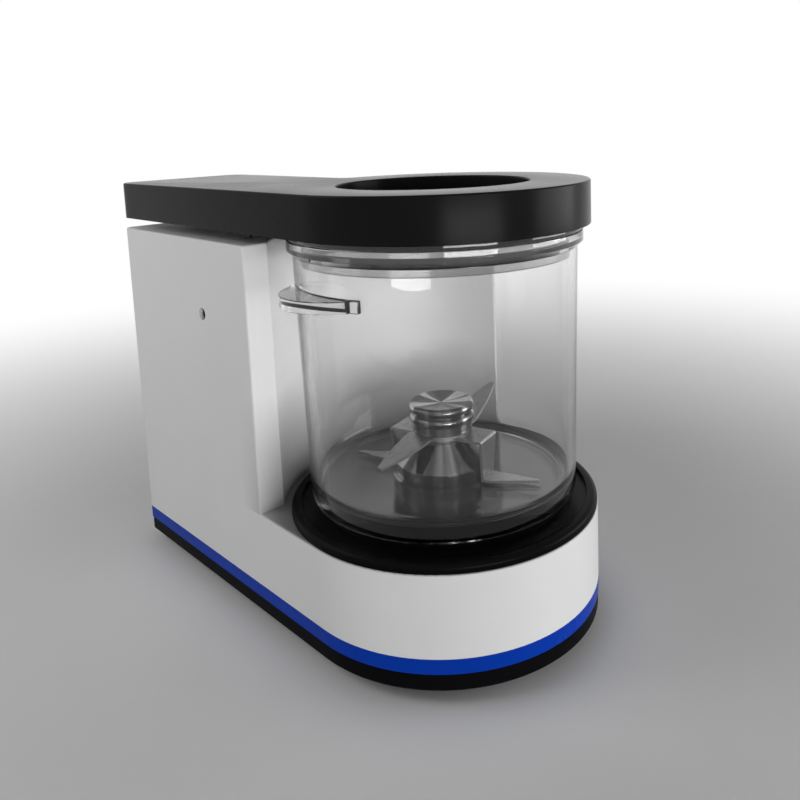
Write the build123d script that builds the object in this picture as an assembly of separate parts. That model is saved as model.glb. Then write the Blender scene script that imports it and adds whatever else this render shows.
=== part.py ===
from build123d import *
import math
import os

# Bench tissue grinder with a clear bowl, a swing-over clamping arm and a bladed cutter.
# Millimetres, +Z up, front towards -Y. The origin is the centre of the footprint, on the table.

# Driving sizes: the bowl's width, which sets the width of all that stands round it
bowl_radius = 100.0
base_margin = 11.5
recess_gap = 17.0
arm_margin = 9.0
near_strip = 19.67
far_strip = 3.2

# Driving sizes: the housing
side_depth = 267.5
arm_overhang = 12.5
wall = 3.0
rear_corner = 6.0
edge_round = 1.5
foot_height = 8.0
skirt_height = 12.6
stripe_height = 10.1
skirt_bevel = 2.0
apron_height = 55.5

# Driving sizes: the bowl, its seat and the lid
bowl_taper = 4.0
bowl_wall = 4.5
bowl_height = 187.0
bowl_floor = 9.0
bowl_floor_round = 11.0
bowl_foot_round = 5.0
collar_overhang = 3.7
collar_height = 11.0
ear_reach = 20.4
ear_arc = 40.0
ear_lip = 3.7
ear_thickness = 7.9
ear_drop = 30.4
ear_start = 153.0
ear_middle = 176.0
ear_end = 199.5
seat_rise = 9.0
seat_margin = 12.0
seat_bore = 20.0
groove_rise = 2.8
rim_width = 7.5
rim_rise = 6.3
rim_round = 4.0
rim_inner_round = 1.0
rim_inset = 0.5
lid_disc = 3.7
lid_plug_depth = 17.0
lid_plug_wall = 3.0
lid_inset = 0.5
lid_seal_section = 1.0
lid_seal_height = 6.5
lid_seal_lift = 5.5
lid_bevel = 0.8

# Driving sizes: the arm and its post
arm_thickness = 29.4
arm_neck_far = 5.0
arm_corner = 15.0
arm_inner_corner = 10.0
arm_edge = 1.2
arm_wall = 4.0
arm_plate = 3.0
arm_gap = 7.8
feed_radius = 67.8
post_inset = 54.5
post_radius = 15.0
journal_radius = 12.0
arm_lift = 12.0
guide_length = 110.0
guide_wall = 3.0
bush_wall = 4.0
bush_length = 20.0
side_hole_radius = 4.7
side_hole_drop = 56.4

# Driving sizes: the cutter
hub_foot_radius = 34.3
hub_foot_height = 8.7
hub_cone_height = 16.1
hub_neck_radius = 20.2
hub_neck_height = 2.9
blade_thickness = 1.8
cross_azimuth = 3.7
cross_width = 22.0
cross_tip_width = 4.0
cross_root = 24.0
cross_reach = 63.8
cross_rise = 26.0
cross_fall = 15.0
floor_azimuth = -72.0
floor_width = 24.7
floor_foot_width = 17.0
floor_shift = 2.0
floor_knee = 37.5
floor_reach = 73.0
floor_tip_shift = 5.3
floor_tip_half = 0.8
floor_root = 6.0
knee_round = 1.6
leaf_bulge = 8.1
knob_radius = 23.8
knob_neck_radius = 22.0
knob_neck_height = 5.0
knob_washer = 1.4
bead_height = 6.2
bead_gap = 1.2
bead_groove = 2.4
knob_dish = 1.6

# Driving sizes: the drive
spindle_radius = 8.5
stud_radius = 6.0
bearing_radius = 17.5
bearing_width = 10.0
spindle_flange = 45.0
pulley_width = 16.0
pulley_lift = 10.0
driven_radius = 32.0
motor_pulley_radius = 20.0
belt_thickness = 3.0
motor_x = 20.0
motor_room = 5.5
motor_radius = 55.0
motor_plate_margin = 6.0
motor_height = 130.0
motor_cap_height = 14.0
motor_shaft_radius = 7.0
motor_plate_thickness = 5.0
motor_plate_lift = 38.0
tray_floor = 4.0

# Clearances
rest_gap = 0.3
running = 0.05
screw_play = 0.1
face_gap = 0.2
fuse_step = 0.02

# Screws: shank radius, head radius, head height
small_screw = 2.0
small_head = 3.8
small_head_height = 2.2

# Widths and places worked out from the sizes above
half_width = bowl_radius + base_margin
recess_radius = bowl_radius + recess_gap
arm_radius = bowl_radius + arm_margin
seat_radius = bowl_radius - seat_margin
rim_outer = half_width - rim_inset
rim_inner = rim_outer - rim_width
near_depth = math.sqrt(recess_radius**2 - (half_width - near_strip) ** 2)
far_depth = math.sqrt(recess_radius**2 - (half_width - far_strip) ** 2)
arm_reach_back = side_depth + arm_overhang
motor_plate_half = motor_radius + motor_plate_margin
motor_y = side_depth - wall - motor_room - motor_plate_half
bowl_y = -(arm_reach_back - half_width) / 2
skirt_top = foot_height + skirt_height
stripe_top = skirt_top + stripe_height
deck_top = stripe_top + apron_height
deck_under = deck_top - wall
seat_top = deck_top + seat_rise
bowl_bottom = seat_top + rest_gap
bowl_rim = bowl_bottom + bowl_height
floor_top = bowl_bottom + bowl_floor
lid_under = bowl_rim + rest_gap
lid_top = lid_under + lid_disc
arm_under = lid_top + rest_gap
arm_top = arm_under + arm_thickness
tower_top = arm_under - arm_gap
tower_under = tower_top - wall
tray_top = foot_height + tray_floor
lip_inset = wall + face_gap
lip_wall = 2.5
lip_rise = 5.0
guide_bore = post_radius + bush_wall
guide_outer = guide_bore + guide_wall
guide_flange_margin = 6.5
guide_flange = guide_outer + guide_flange_margin
post_x = post_inset - half_width
post_reach = recess_radius + wall + guide_flange + face_gap
post_at = (post_x, bowl_y + math.sqrt(post_reach**2 - post_x**2))
motor_at = (motor_x, bowl_y + motor_y)
spindle_at = (0.0, bowl_y)
pulley_bottom = tray_top + pulley_lift
pulley_top = pulley_bottom + pulley_width
rear_plane = bowl_y + side_depth


def drum(radius, low, high, at=(0.0, 0.0)):
    """Upright cylinder between two heights."""
    base = (Align.CENTER, Align.CENTER, Align.MIN)
    return Pos(at[0], at[1], low) * Cylinder(radius, high - low, align=base)


def tube(outer, inner, low, high, at=(0.0, 0.0)):
    """Upright tube between two heights."""
    return drum(outer, low, high, at) - drum(inner, low, high, at)


def block(x0, x1, y0, y1, low, high):
    """Box between two corners."""
    centre = Pos((x0 + x1) / 2, (y0 + y1) / 2, (low + high) / 2)
    return centre * Box(x1 - x0, y1 - y0, high - low)


def centred_block(half_x, half_y, low, high, at):
    """Box round an upright line, between two heights."""
    return block(at[0] - half_x, at[0] + half_x, at[1] - half_y, at[1] + half_y, low, high)


def slab(plan, low, high):
    """Flat plan carried up from one height to another."""
    return extrude(Pos(0, 0, low) * plan, amount=high - low)


def turned(points, at):
    """Solid turned about an upright axis from (radius, height) points."""
    profile = make_face(Polyline(*[(r, 0, z) for r, z in points], close=True))
    return Pos(at[0], at[1], 0) * revolve(profile, Axis.Z)


def lying(radius, start, length, direction):
    """Cylinder from a point along a direction."""
    plane = Plane(origin=start, z_dir=direction)
    return extrude(plane * Circle(radius), amount=length)


def joined(pieces):
    """Separate solids kept together as one group."""
    return Compound(children=list(pieces))


def circles_at(solid, radius, height):
    """Round edges of a solid with a radius, at a height."""
    edges = solid.edges().filter_by(GeomType.CIRCLE)
    return [e for e in edges if abs(e.radius - radius) < 0.01 and abs(e.center().Z - height) < 0.01]


def base_plan(inset):
    """Plan of the base: a half-round front and a straight-sided back, drawn in by inset."""
    half = half_width - inset
    back = side_depth - inset
    straight = Pos(0, bowl_y + back / 2) * Rectangle(2 * half, back)
    corners = straight.vertices().group_by(Axis.Y)[-1]
    straight = fillet(corners, rear_corner)
    return straight + Pos(0, bowl_y) * Circle(half)


def tower_plan(inset):
    """Plan of the tower, drawn in by inset: a round recess for the bowl, cut back further on the ear's side."""
    half = half_width - inset
    far_front = bowl_y + far_depth + inset
    near_front = bowl_y + near_depth + inset
    back = rear_plane - inset
    plan = Pos(0, (far_front + back) / 2) * Rectangle(2 * half, back - far_front)
    plan = fillet(plan.vertices().group_by(Axis.Y)[-1], rear_corner)
    plan -= Pos(-half / 2, (far_front + near_front) / 2) * Rectangle(half, near_front - far_front)
    plan -= Pos(0, bowl_y) * Circle(recess_radius + inset)
    corners = [v for v in plan.vertices() if min(abs(v.Y - near_front), abs(v.Y - far_front)) < 0.01]
    return fillet(corners, edge_round)


# Rear cover and what it carries
cover_margin = 13.5
cover_edge = 12.0
cover_half = half_width - cover_margin
cover_low = stripe_top + cover_edge
cover_high = tower_top - cover_edge
cover_lap = 6.0
cover_thickness = 2.0
cover_face = rear_plane + cover_thickness
socket_margin = 36.0
socket_lift = 32.0
switch_lift = 34.0
inlet_x = socket_margin - cover_half
inlet_half = 14.0
inlet_half_height = 10.0
inlet_z = cover_low + socket_lift
inlet_wall = 1.6
inlet_corner = 3.0
inlet_flange = 5.0
inlet_flange_thickness = 2.0
inlet_depth = 24.0
pin_length = 14.0
pin_half = 1.0
pin_half_height = 2.0
pin_places = ((-7.0, -1.5), (0.0, 2.5), (7.0, -1.5))
switch_x = inlet_x
switch_half = 7.0
switch_half_height = 10.5
switch_z = inlet_z + switch_lift
switch_lap = 2.0
switch_flange = 1.5
switch_depth = 20.0
switch_mouth = 12.0
rocker_wall = 1.4
rocker_end_gap = 1.4
rocker_tilt = 12.0
rocker_root = 3.0
rocker_rise = 4.0
rocker_lip = 1.8
rocker_crest = 5.4
rocker_neck = 2.5
rocker_pivot_depth = 4.0
rocker_pin_radius = 1.6
rocker_pin_bite = 1.0


def cover_screw_places():
    """Places (x, z) of the rear cover's screws."""
    x = cover_half - cover_lap / 2
    middle = (cover_low + cover_high) / 2
    low = cover_low + cover_lap / 2
    high = cover_high - cover_lap / 2
    return [(side * x, z) for side in (-1, 1) for z in (low, middle, high)]


# Interlock plunger place and sizes
plunger_inset = 26.5
plunger_room = 18.2
plunger_radius = 3.0
plunger_collar = 2.0
plunger_collar_height = 2.5
plunger_tip_round = 1.5
plunger_travel = 3.0
plunger_length = 30.0
plunger_x = plunger_inset - half_width
plunger_reach = recess_radius + wall + plunger_room
plunger_at = (plunger_x, bowl_y + math.sqrt(plunger_reach**2 - plunger_x**2))
plunger_top = arm_under - rest_gap
plunger_bottom = plunger_top - plunger_length
switch_body_top = plunger_bottom - plunger_travel - rest_gap
side_hole_z = tower_top - side_hole_drop


def make_base_tray():
    """Black bottom tray: floor, skirt wall and the inner lip that locates the shell."""
    skirt = slab(base_plan(rim_inset), foot_height, skirt_top)
    skirt = chamfer(skirt.faces().sort_by(Axis.Z)[0].edges(), skirt_bevel)
    lip = slab(base_plan(lip_inset), skirt_top, stripe_top + lip_rise)
    hollow = slab(base_plan(lip_inset + lip_wall), tray_top, stripe_top + lip_rise)
    tray = skirt + lip - hollow
    for x, y in foot_places():
        tray += drum(foot_boss, tray_top, tray_top + foot_boss_height, (x, y))
    for x, y in foot_places():
        tray -= drum(small_screw + screw_play, foot_height, tray_top + foot_boss_height, (x, y))
    for x, y in motor_leg_places() + board_places():
        tray -= drum(small_screw + screw_play, foot_height, tray_top, (x, y))
    return tray


foot_radius = 13.0
foot_taper = 1.5
foot_boss = 7.0
foot_boss_height = 8.0
foot_bore = 5.0
foot_bore_depth = 4.0
drive_radius = 1.5
drive_depth = 1.2
foot_front_margin = 28.3
foot_front_angle = 35.2
foot_rear_margin_x = 23.5
foot_rear_margin_y = 30.0


def foot_places():
    """Centres of the four feet."""
    ring = half_width - foot_front_margin
    angle = math.radians(foot_front_angle)
    front = [(side * ring * math.cos(angle), bowl_y - ring * math.sin(angle)) for side in (-1, 1)]
    rear_x = half_width - foot_rear_margin_x
    rear = [(side * rear_x, rear_plane - foot_rear_margin_y) for side in (-1, 1)]
    return front + rear


def make_rubber_feet():
    """Four round rubber feet with a counterbore for their screws."""
    feet = []
    for x, y in foot_places():
        foot = turned(
            [
                (0, 0),
                (foot_radius - foot_taper, 0),
                (foot_radius, foot_taper),
                (foot_radius, foot_height),
                (0, foot_height),
            ],
            (x, y),
        )
        foot -= drum(foot_bore, 0, foot_bore_depth, (x, y))
        foot -= drum(small_screw + screw_play, 0, foot_height, (x, y))
        feet.append(foot)
    return joined(feet)


def make_foot_screws():
    """Pan screws that hold the feet into the tray's bosses."""
    screws = []
    for x, y in foot_places():
        low = foot_bore_depth - small_head_height
        head = drum(small_head, low, foot_bore_depth, (x, y))
        head -= drum(drive_radius, low, low + drive_depth, (x, y))
        shank = drum(small_screw, foot_bore_depth, tray_top + foot_boss_height, (x, y))
        screws.append(head + shank)
    return joined(screws)


def make_stripe_band():
    """Coloured band between the skirt and the housing."""
    return slab(base_plan(0) - base_plan(wall), skirt_top, stripe_top)


def make_housing_shell():
    """Painted one-piece shell: the low apron round the drive and the tall tower behind the bowl.

    The apron is drawn in by a hair, because fused faces that lie in one plane can lose the tower.
    """
    apron = slab(base_plan(fuse_step), stripe_top, deck_top)
    apron = fillet(apron.faces().sort_by(Axis.Z)[-1].edges(), edge_round)
    tower = slab(tower_plan(0), stripe_top, tower_top)
    tower = fillet(tower.faces().sort_by(Axis.Z)[-1].edges(), edge_round)
    hollow = slab(base_plan(wall), stripe_top, deck_under) + slab(tower_plan(wall), stripe_top, tower_under)
    shell = apron + tower - hollow
    window_half = cover_half - cover_lap
    shell -= block(
        -window_half,
        window_half,
        rear_plane - 2 * wall,
        rear_plane + wall,
        cover_low + cover_lap,
        cover_high - cover_lap,
    )
    for x, z in cover_screw_places():
        shell -= lying(small_screw + screw_play, (x, rear_plane + wall, z), 3 * wall, (0, -1, 0))
    shell -= drum(spindle_nose + rest_gap, deck_under, deck_top, spindle_at)
    for x, y in flange_screw_places():
        shell -= drum(small_screw + screw_play, deck_under, deck_top, (x, y))
    shell -= drum(post_radius + rest_gap, tower_under, tower_top, post_at)
    for x, y in guide_screw_places():
        shell -= drum(small_screw, tower_under, tower_under + guide_screw_bite, (x, y))
    shell -= drum(plunger_radius + rest_gap, tower_under, tower_top, plunger_at)
    shell -= lying(side_hole_radius, (-half_width - wall, post_at[1], side_hole_z), 3 * wall, (1, 0, 0))
    return shell


vent_count = 9
vent_width = 4.0
vent_length = 84.0
vent_pitch = 9.0
vent_lift = 96.0
vent_margin = 68.0
vent_low = cover_low + vent_lift
vent_x = cover_half - vent_margin


def make_rear_cover():
    """Flat painted cover over the tower's rear window, with air slots and socket cut-outs."""
    cover = block(-cover_half, cover_half, rear_plane, cover_face, cover_low, cover_high)
    cover = fillet(cover.edges().filter_by(Axis.Y), cover_lap / 2)
    for row in range(vent_count):
        z = vent_low + row * vent_pitch
        slot = Plane(origin=(vent_x, rear_plane, z), x_dir=(1, 0, 0), z_dir=(0, -1, 0))
        cut = SlotOverall(vent_length, vent_width)
        cover -= extrude(slot * cut, amount=cover_thickness, both=True)
    cover -= block(
        inlet_x - inlet_half - face_gap,
        inlet_x + inlet_half + face_gap,
        rear_plane,
        cover_face,
        inlet_z - inlet_half_height - face_gap,
        inlet_z + inlet_half_height + face_gap,
    )
    cover -= block(
        switch_x - switch_half - face_gap,
        switch_x + switch_half + face_gap,
        rear_plane,
        cover_face,
        switch_z - switch_half_height - face_gap,
        switch_z + switch_half_height + face_gap,
    )
    for x, z in cover_screw_places():
        cover -= lying(small_screw + screw_play, (x, cover_face, z), cover_thickness, (0, -1, 0))
    return cover


def make_rear_cover_screws():
    """Pan screws round the rear cover."""
    screws = []
    for x, z in cover_screw_places():
        head = lying(small_head, (x, cover_face, z), small_head_height, (0, 1, 0))
        slot_floor = cover_face + small_head_height - drive_depth
        slot = lying(drive_radius, (x, slot_floor, z), small_head_height, (0, 1, 0))
        shank = lying(small_screw, (x, cover_face, z), cover_thickness + 2 * wall, (0, -1, 0))
        screws.append(head - slot + shank)
    return joined(screws)


def make_power_inlet():
    """Recessed mains socket with its flange and three blades."""
    flange = block(
        inlet_x - inlet_half - inlet_flange,
        inlet_x + inlet_half + inlet_flange,
        cover_face,
        cover_face + inlet_flange_thickness,
        inlet_z - inlet_half_height - inlet_flange,
        inlet_z + inlet_half_height + inlet_flange,
    )
    flange = fillet(flange.edges().filter_by(Axis.Y), inlet_corner)
    body = block(
        inlet_x - inlet_half,
        inlet_x + inlet_half,
        cover_face - inlet_depth,
        cover_face,
        inlet_z - inlet_half_height,
        inlet_z + inlet_half_height,
    )
    back = cover_face - inlet_depth + inlet_wall
    socket = block(
        inlet_x - inlet_half + inlet_wall,
        inlet_x + inlet_half - inlet_wall,
        back,
        cover_face + inlet_flange_thickness,
        inlet_z - inlet_half_height + inlet_wall,
        inlet_z + inlet_half_height - inlet_wall,
    )
    inlet = flange + body - socket
    for x, z in pin_places:
        inlet += block(
            inlet_x + x - pin_half,
            inlet_x + x + pin_half,
            back,
            back + pin_length,
            inlet_z + z - pin_half_height,
            inlet_z + z + pin_half_height,
        )
    return inlet


def make_switch_frame():
    """Frame of the mains rocker switch, open at the rear face, with holes for the rocker's pin."""
    flange = block(
        switch_x - switch_half - switch_lap,
        switch_x + switch_half + switch_lap,
        cover_face,
        cover_face + switch_flange,
        switch_z - switch_half_height - switch_lap,
        switch_z + switch_half_height + switch_lap,
    )
    body = block(
        switch_x - switch_half,
        switch_x + switch_half,
        cover_face - switch_depth,
        cover_face,
        switch_z - switch_half_height,
        switch_z + switch_half_height,
    )
    mouth = block(
        switch_x - switch_half + rocker_wall,
        switch_x + switch_half - rocker_wall,
        cover_face - switch_mouth,
        cover_face + switch_flange,
        switch_z - switch_half_height + rocker_wall,
        switch_z + switch_half_height - rocker_wall,
    )
    start = (switch_x - switch_half, cover_face - rocker_pivot_depth, switch_z)
    holes = lying(rocker_pin_radius + running, start, 2 * switch_half, (1, 0, 0))
    return flange + body - mouth - holes


def make_switch_rocker():
    """Rocker tilted to its off side, turning on a cross pin through its middle."""
    half = switch_half - rocker_wall - rest_gap
    long_half = switch_half_height - rocker_wall - rocker_end_gap
    pivot = cover_face - rocker_pivot_depth
    profile = make_face(
        Polyline(
            (pivot - rocker_root, -rocker_neck),
            (pivot + rocker_crest - rocker_lip, -long_half),
            (pivot + rocker_crest, -long_half),
            (pivot + rocker_rise, 0),
            (pivot + rocker_crest, long_half),
            (pivot + rocker_crest - rocker_lip, long_half),
            (pivot - rocker_root, rocker_neck),
            close=True,
        )
    )
    plane = Plane(origin=(switch_x - half, 0, switch_z), x_dir=(0, 1, 0), z_dir=(1, 0, 0))
    rocker = extrude(plane * profile, amount=2 * half)
    pin_half_length = switch_half - rocker_wall + rocker_pin_bite
    start = (switch_x - pin_half_length, pivot, switch_z)
    rocker += lying(rocker_pin_radius, start, 2 * pin_half_length, (1, 0, 0))
    turn = Pos(switch_x, pivot, switch_z) * Rot(-rocker_tilt, 0, 0) * Pos(-switch_x, -pivot, -switch_z)
    return turn * rocker


def make_bowl_seat():
    """Black seat: a centre platform, a groove that the bowl's edge stands in and a rounded rim."""
    rim_top = deck_top + rim_rise
    seat = turned(
        [
            (seat_bore, deck_top),
            (rim_outer, deck_top),
            (rim_outer, rim_top),
            (rim_inner, rim_top),
            (rim_inner, deck_top + groove_rise),
            (seat_radius, deck_top + groove_rise),
            (seat_radius, seat_top),
            (seat_bore, seat_top),
        ],
        spindle_at,
    )
    seat = fillet(circles_at(seat, rim_outer, rim_top), rim_round)
    seat = fillet(circles_at(seat, rim_inner, rim_top), rim_inner_round)
    for x, y in flange_screw_places():
        seat -= drum(small_screw, deck_top, deck_top + seat_screw_depth, (x, y))
    return seat


casting_wall = 7.0
casting_step = 3.0
pulley_gap = 4.0
seal_height = 4.0
seal_lip = 2.5
spindle_tube = bearing_radius + casting_wall
spindle_nose = spindle_tube
housing_bottom = pulley_top + pulley_gap
bearing_seat = deck_under - seal_height
flange_thickness = 5.0
flange_screw_margin = 7.0
flange_screw_circle = spindle_flange - flange_screw_margin
flange_screw_count = 6
seat_screw_depth = 6.5
screw_end_gap = 0.5


def flange_screw_places():
    """Places of the bearing housing's flange screws."""
    places = []
    for index in range(flange_screw_count):
        angle = math.radians(360 / flange_screw_count * index)
        x = flange_screw_circle * math.cos(angle)
        y = bowl_y + flange_screw_circle * math.sin(angle)
        places.append((x, y))
    return places


def make_spindle_housing():
    """Cast bearing housing hung under the deck by its flange."""
    casting = drum(spindle_tube, housing_bottom, deck_under, spindle_at)
    casting += drum(spindle_flange, deck_under - flange_thickness, deck_under, spindle_at)
    casting -= drum(bearing_radius, bearing_seat - bearing_width, deck_under, spindle_at)
    casting -= drum(bearing_radius, housing_bottom, housing_bottom + bearing_width, spindle_at)
    casting -= drum(bearing_radius - casting_step, housing_bottom, deck_under, spindle_at)
    for x, y in flange_screw_places():
        casting -= drum(small_screw + screw_play, deck_under - flange_thickness, deck_under, (x, y))
    return casting


def make_flange_screws():
    """Screws driven from below that clamp the deck between the bearing housing and the seat."""
    screws = []
    for x, y in flange_screw_places():
        high = deck_under - flange_thickness
        head = drum(small_head, high - small_head_height, high, (x, y))
        shank = drum(small_screw, high, deck_top + seat_screw_depth - screw_end_gap, (x, y))
        screws.append(head + shank)
    return joined(screws)


ball_count = 8
ball_share = 0.28


def ball_bearing(low):
    """Deep groove ball bearing round the spindle: two races and their balls."""
    bore = spindle_radius + running
    middle = (bore + bearing_radius) / 2
    ball = (bearing_radius - bore) * ball_share
    height = low + bearing_width / 2
    outer = tube(bearing_radius, middle + ball * 0.6, low, low + bearing_width, spindle_at)
    inner = tube(middle - ball * 0.6, bore, low, low + bearing_width, spindle_at)
    groove = Pos(spindle_at[0], spindle_at[1], height) * Torus(middle, ball + running)
    outer -= groove
    inner -= groove
    balls = []
    for index in range(ball_count):
        angle = math.radians(360 / ball_count * index)
        x = middle * math.cos(angle)
        y = spindle_at[1] + middle * math.sin(angle)
        balls.append(Pos(x, y, height) * Sphere(ball))
    return joined([outer, inner] + balls)


def make_upper_bearing():
    """Bearing under the deck."""
    return ball_bearing(bearing_seat - bearing_width)


def make_lower_bearing():
    """Bearing above the driven pulley."""
    return ball_bearing(housing_bottom)


def make_shaft_seal():
    """Rubber seal that closes the bearing housing round the spindle."""
    ring = tube(bearing_radius, spindle_radius + rest_gap, bearing_seat, deck_under, spindle_at)
    groove = tube(
        bearing_radius - seal_lip, spindle_radius + seal_lip, bearing_seat, bearing_seat + seal_lip, spindle_at
    )
    return ring - groove


bush_flange_radius = 37.0
bush_flange = 1.5
bush_radius = 15.8
bush_spigot = 6.0
bush_drop = 1.0
hub_cavity_gap = 0.8
knob_stud_depth = 7.0
knob_bore_depth = 6.0
stud_bevel = 1.0
nut_height = 5.0
nut_margin = 5.5
nut_thread = 6.0
hub_bottom = floor_top + bush_flange + rest_gap
hub_foot_top = hub_bottom + hub_foot_height
hub_cone_top = hub_foot_top + hub_cone_height
hub_top = hub_cone_top + hub_neck_height
hub_bore_height = 9.0
bush_top = hub_top - hub_bore_height - bush_drop
cross_low = hub_top + blade_thickness
washer_low = cross_low + blade_thickness
knob_bottom = washer_low + knob_washer
knob_top = knob_bottom + knob_neck_height + 2 * bead_height + bead_gap


def make_drive_spindle():
    """Steel spindle from the driven pulley up through the bowl to the cutter."""
    spindle = drum(spindle_radius, pulley_bottom - nut_thread, hub_top, spindle_at)
    spindle += drum(stud_radius, hub_top, knob_top - knob_stud_depth, spindle_at)
    return chamfer(spindle.faces().sort_by(Axis.Z)[-1].edges(), stud_bevel)


rib_count = 5
rib_depth = 1.2
pulley_flange = 1.5
pulley_web = 7.0
pulley_hollow = 8.8


def grooved_pulley(radius, bore, at):
    """Ribbed belt pulley with low flanges."""
    low = pulley_bottom + pulley_flange
    high = pulley_top - pulley_flange
    edge = radius + pulley_flange
    pitch = (high - low) / rib_count
    points = [(bore, pulley_bottom), (edge, pulley_bottom), (edge, low)]
    for rib in range(rib_count):
        points.append((radius, low + rib * pitch))
        points.append((radius - rib_depth, low + (rib + 0.5) * pitch))
    points += [(radius, high), (edge, high), (edge, pulley_top), (bore, pulley_top)]
    return turned(points, at)


def make_driven_pulley():
    """Large pulley on the spindle."""
    pulley = grooved_pulley(driven_radius, spindle_radius, spindle_at)
    web_inner = spindle_radius + pulley_web
    web_outer = driven_radius - pulley_web
    return pulley - tube(web_outer, web_inner, pulley_bottom, pulley_bottom + pulley_hollow, spindle_at)


def make_pulley_nut():
    """Hexagon nut under the driven pulley."""
    low = pulley_bottom - nut_height
    outline = Pos(*spindle_at) * RegularPolygon(spindle_radius + nut_margin, 6)
    return slab(outline, low, pulley_bottom) - drum(spindle_radius, low, pulley_bottom, spindle_at)


def make_motor_pulley():
    """Small pulley on the motor's shaft."""
    return grooved_pulley(motor_pulley_radius, motor_shaft_radius, motor_at)


def belt_loop(grow):
    """Outline of a belt that runs round both pulleys, grown by a distance."""
    big = Pos(*spindle_at) * Circle(driven_radius + grow)
    small = Pos(*motor_at) * Circle(motor_pulley_radius + grow)
    return make_hull(big.edges() + small.edges())


def make_drive_belt():
    """Flat-backed ribbed belt between the pulleys, just clear of their ribs."""
    loop = belt_loop(rest_gap + belt_thickness) - belt_loop(rest_gap)
    return slab(loop, pulley_bottom + pulley_flange + rest_gap, pulley_top - pulley_flange - rest_gap)


motor_bearing_radius = 15.0
motor_bearing_width = 8.0
motor_boss = 19.0
motor_bolt_share = 0.62
leg_hole = 10.0
leg_screw = 8.0
bolt_hole = 6.0
bolt_reach = 5.0
fin_count = 24
fin_depth = 7.0
fin_width = 1.6
can_wall = 5.0
can_foot = 8.0
can_foot_inset = 2.0
can_foot_width = 18.0
can_inset = 4.0
cap_round = 5.0
cap_wall = 3.0
cap_slots = 12
cap_slot_width = 4.0
cap_slot_share = 0.4
shaft_end_gap = 1.0
core_air = 2.0
core_lift = 22.0
core_drop = 18.0
motor_plate_low = tray_top + motor_plate_lift
motor_plate_top = motor_plate_low + motor_plate_thickness
motor_leg_radius = 6.0


def motor_leg_places():
    """Places of the four legs under the motor plate."""
    reach = motor_plate_half - motor_leg_radius
    return [(motor_at[0] + a * reach, motor_at[1] + b * reach) for a in (-1, 1) for b in (-1, 1)]


def motor_bolt_places():
    """Places of the bolts that hold the motor on its plate."""
    reach = motor_radius * motor_bolt_share
    return [(motor_at[0] + a * reach, motor_at[1] + b * reach) for a in (-1, 1) for b in (-1, 1)]


def make_motor_bracket():
    """Square motor plate standing on four legs on the tray."""
    plate = block(
        motor_at[0] - motor_plate_half,
        motor_at[0] + motor_plate_half,
        motor_at[1] - motor_plate_half,
        motor_at[1] + motor_plate_half,
        motor_plate_low,
        motor_plate_top,
    )
    plate = fillet(plate.edges().filter_by(Axis.Z), motor_leg_radius)
    plate -= drum(motor_bearing_radius, motor_plate_low, motor_plate_top, motor_at)
    for x, y in motor_leg_places():
        plate += drum(motor_leg_radius, tray_top, motor_plate_low, (x, y))
    for x, y in motor_leg_places():
        plate -= drum(small_screw, tray_top, tray_top + leg_hole, (x, y))
    for x, y in motor_bolt_places():
        plate -= drum(small_screw + screw_play, motor_plate_low, motor_plate_top, (x, y))
    return plate


def make_motor_leg_screws():
    """Screws through the tray's floor into the motor plate's legs."""
    screws = []
    for x, y in motor_leg_places():
        head = drum(small_head, foot_height - small_head_height, foot_height, (x, y))
        shank = drum(small_screw - screw_play, foot_height, tray_top + leg_screw, (x, y))
        screws.append(head + shank)
    return joined(screws)


motor_top = motor_plate_top + motor_height


def make_motor_can():
    """Finned motor can with its bolted foot ring."""
    outer = motor_radius - can_inset
    foot_outer = motor_radius - can_foot_inset
    foot_top = motor_plate_top + can_foot
    can = tube(outer, outer - can_wall, motor_plate_top, motor_top, motor_at)
    can += tube(foot_outer, foot_outer - can_foot_width, motor_plate_top, foot_top, motor_at)
    fin_place = Pos(motor_radius - fin_depth / 2, 0, (motor_plate_top + motor_top) / 2)
    for index in range(fin_count):
        fin = fin_place * Box(fin_depth, fin_width, motor_height)
        can += Pos(*motor_at) * Rot(0, 0, 360 / fin_count * index) * fin
    for x, y in motor_bolt_places():
        can -= drum(small_screw, motor_plate_top, motor_plate_top + bolt_hole, (x, y))
    return can


def make_motor_cap():
    """Vented end cap on top of the motor."""
    cap = drum(motor_radius, motor_top, motor_top + motor_cap_height, motor_at)
    cap = fillet(cap.faces().sort_by(Axis.Z)[-1].edges(), cap_round)
    inside = motor_top + motor_cap_height - cap_wall
    cap -= drum(motor_radius - cap_wall, motor_top, inside, motor_at)
    slot_length = motor_radius * cap_slot_share
    slot_place = Pos(motor_radius - slot_length, 0, motor_top + motor_cap_height)
    for index in range(cap_slots):
        slot = slot_place * Box(slot_length, cap_slot_width, 2 * cap_wall + rest_gap)
        cap -= Pos(*motor_at) * Rot(0, 0, 360 / cap_slots * index) * slot
    return cap + tube(motor_boss, motor_bearing_radius, inside - motor_bearing_width, inside, motor_at)


def make_motor_bearings():
    """Plain bearings of the motor: one in the plate and one in the end cap's boss."""
    bore = motor_shaft_radius + running
    high = motor_top + motor_cap_height - cap_wall
    lower = tube(motor_bearing_radius, bore, motor_plate_low, motor_plate_top, motor_at)
    upper = tube(motor_bearing_radius, bore, high - motor_bearing_width, high, motor_at)
    return joined([lower, upper])


def make_motor_bolts():
    """Bolts from below the plate into the motor's foot ring."""
    bolts = []
    for x, y in motor_bolt_places():
        head = drum(small_head, motor_plate_low - small_head_height, motor_plate_low, (x, y))
        shank = drum(small_screw - screw_play, motor_plate_low, motor_plate_top + bolt_reach, (x, y))
        bolts.append(head + shank)
    return joined(bolts)


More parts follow.
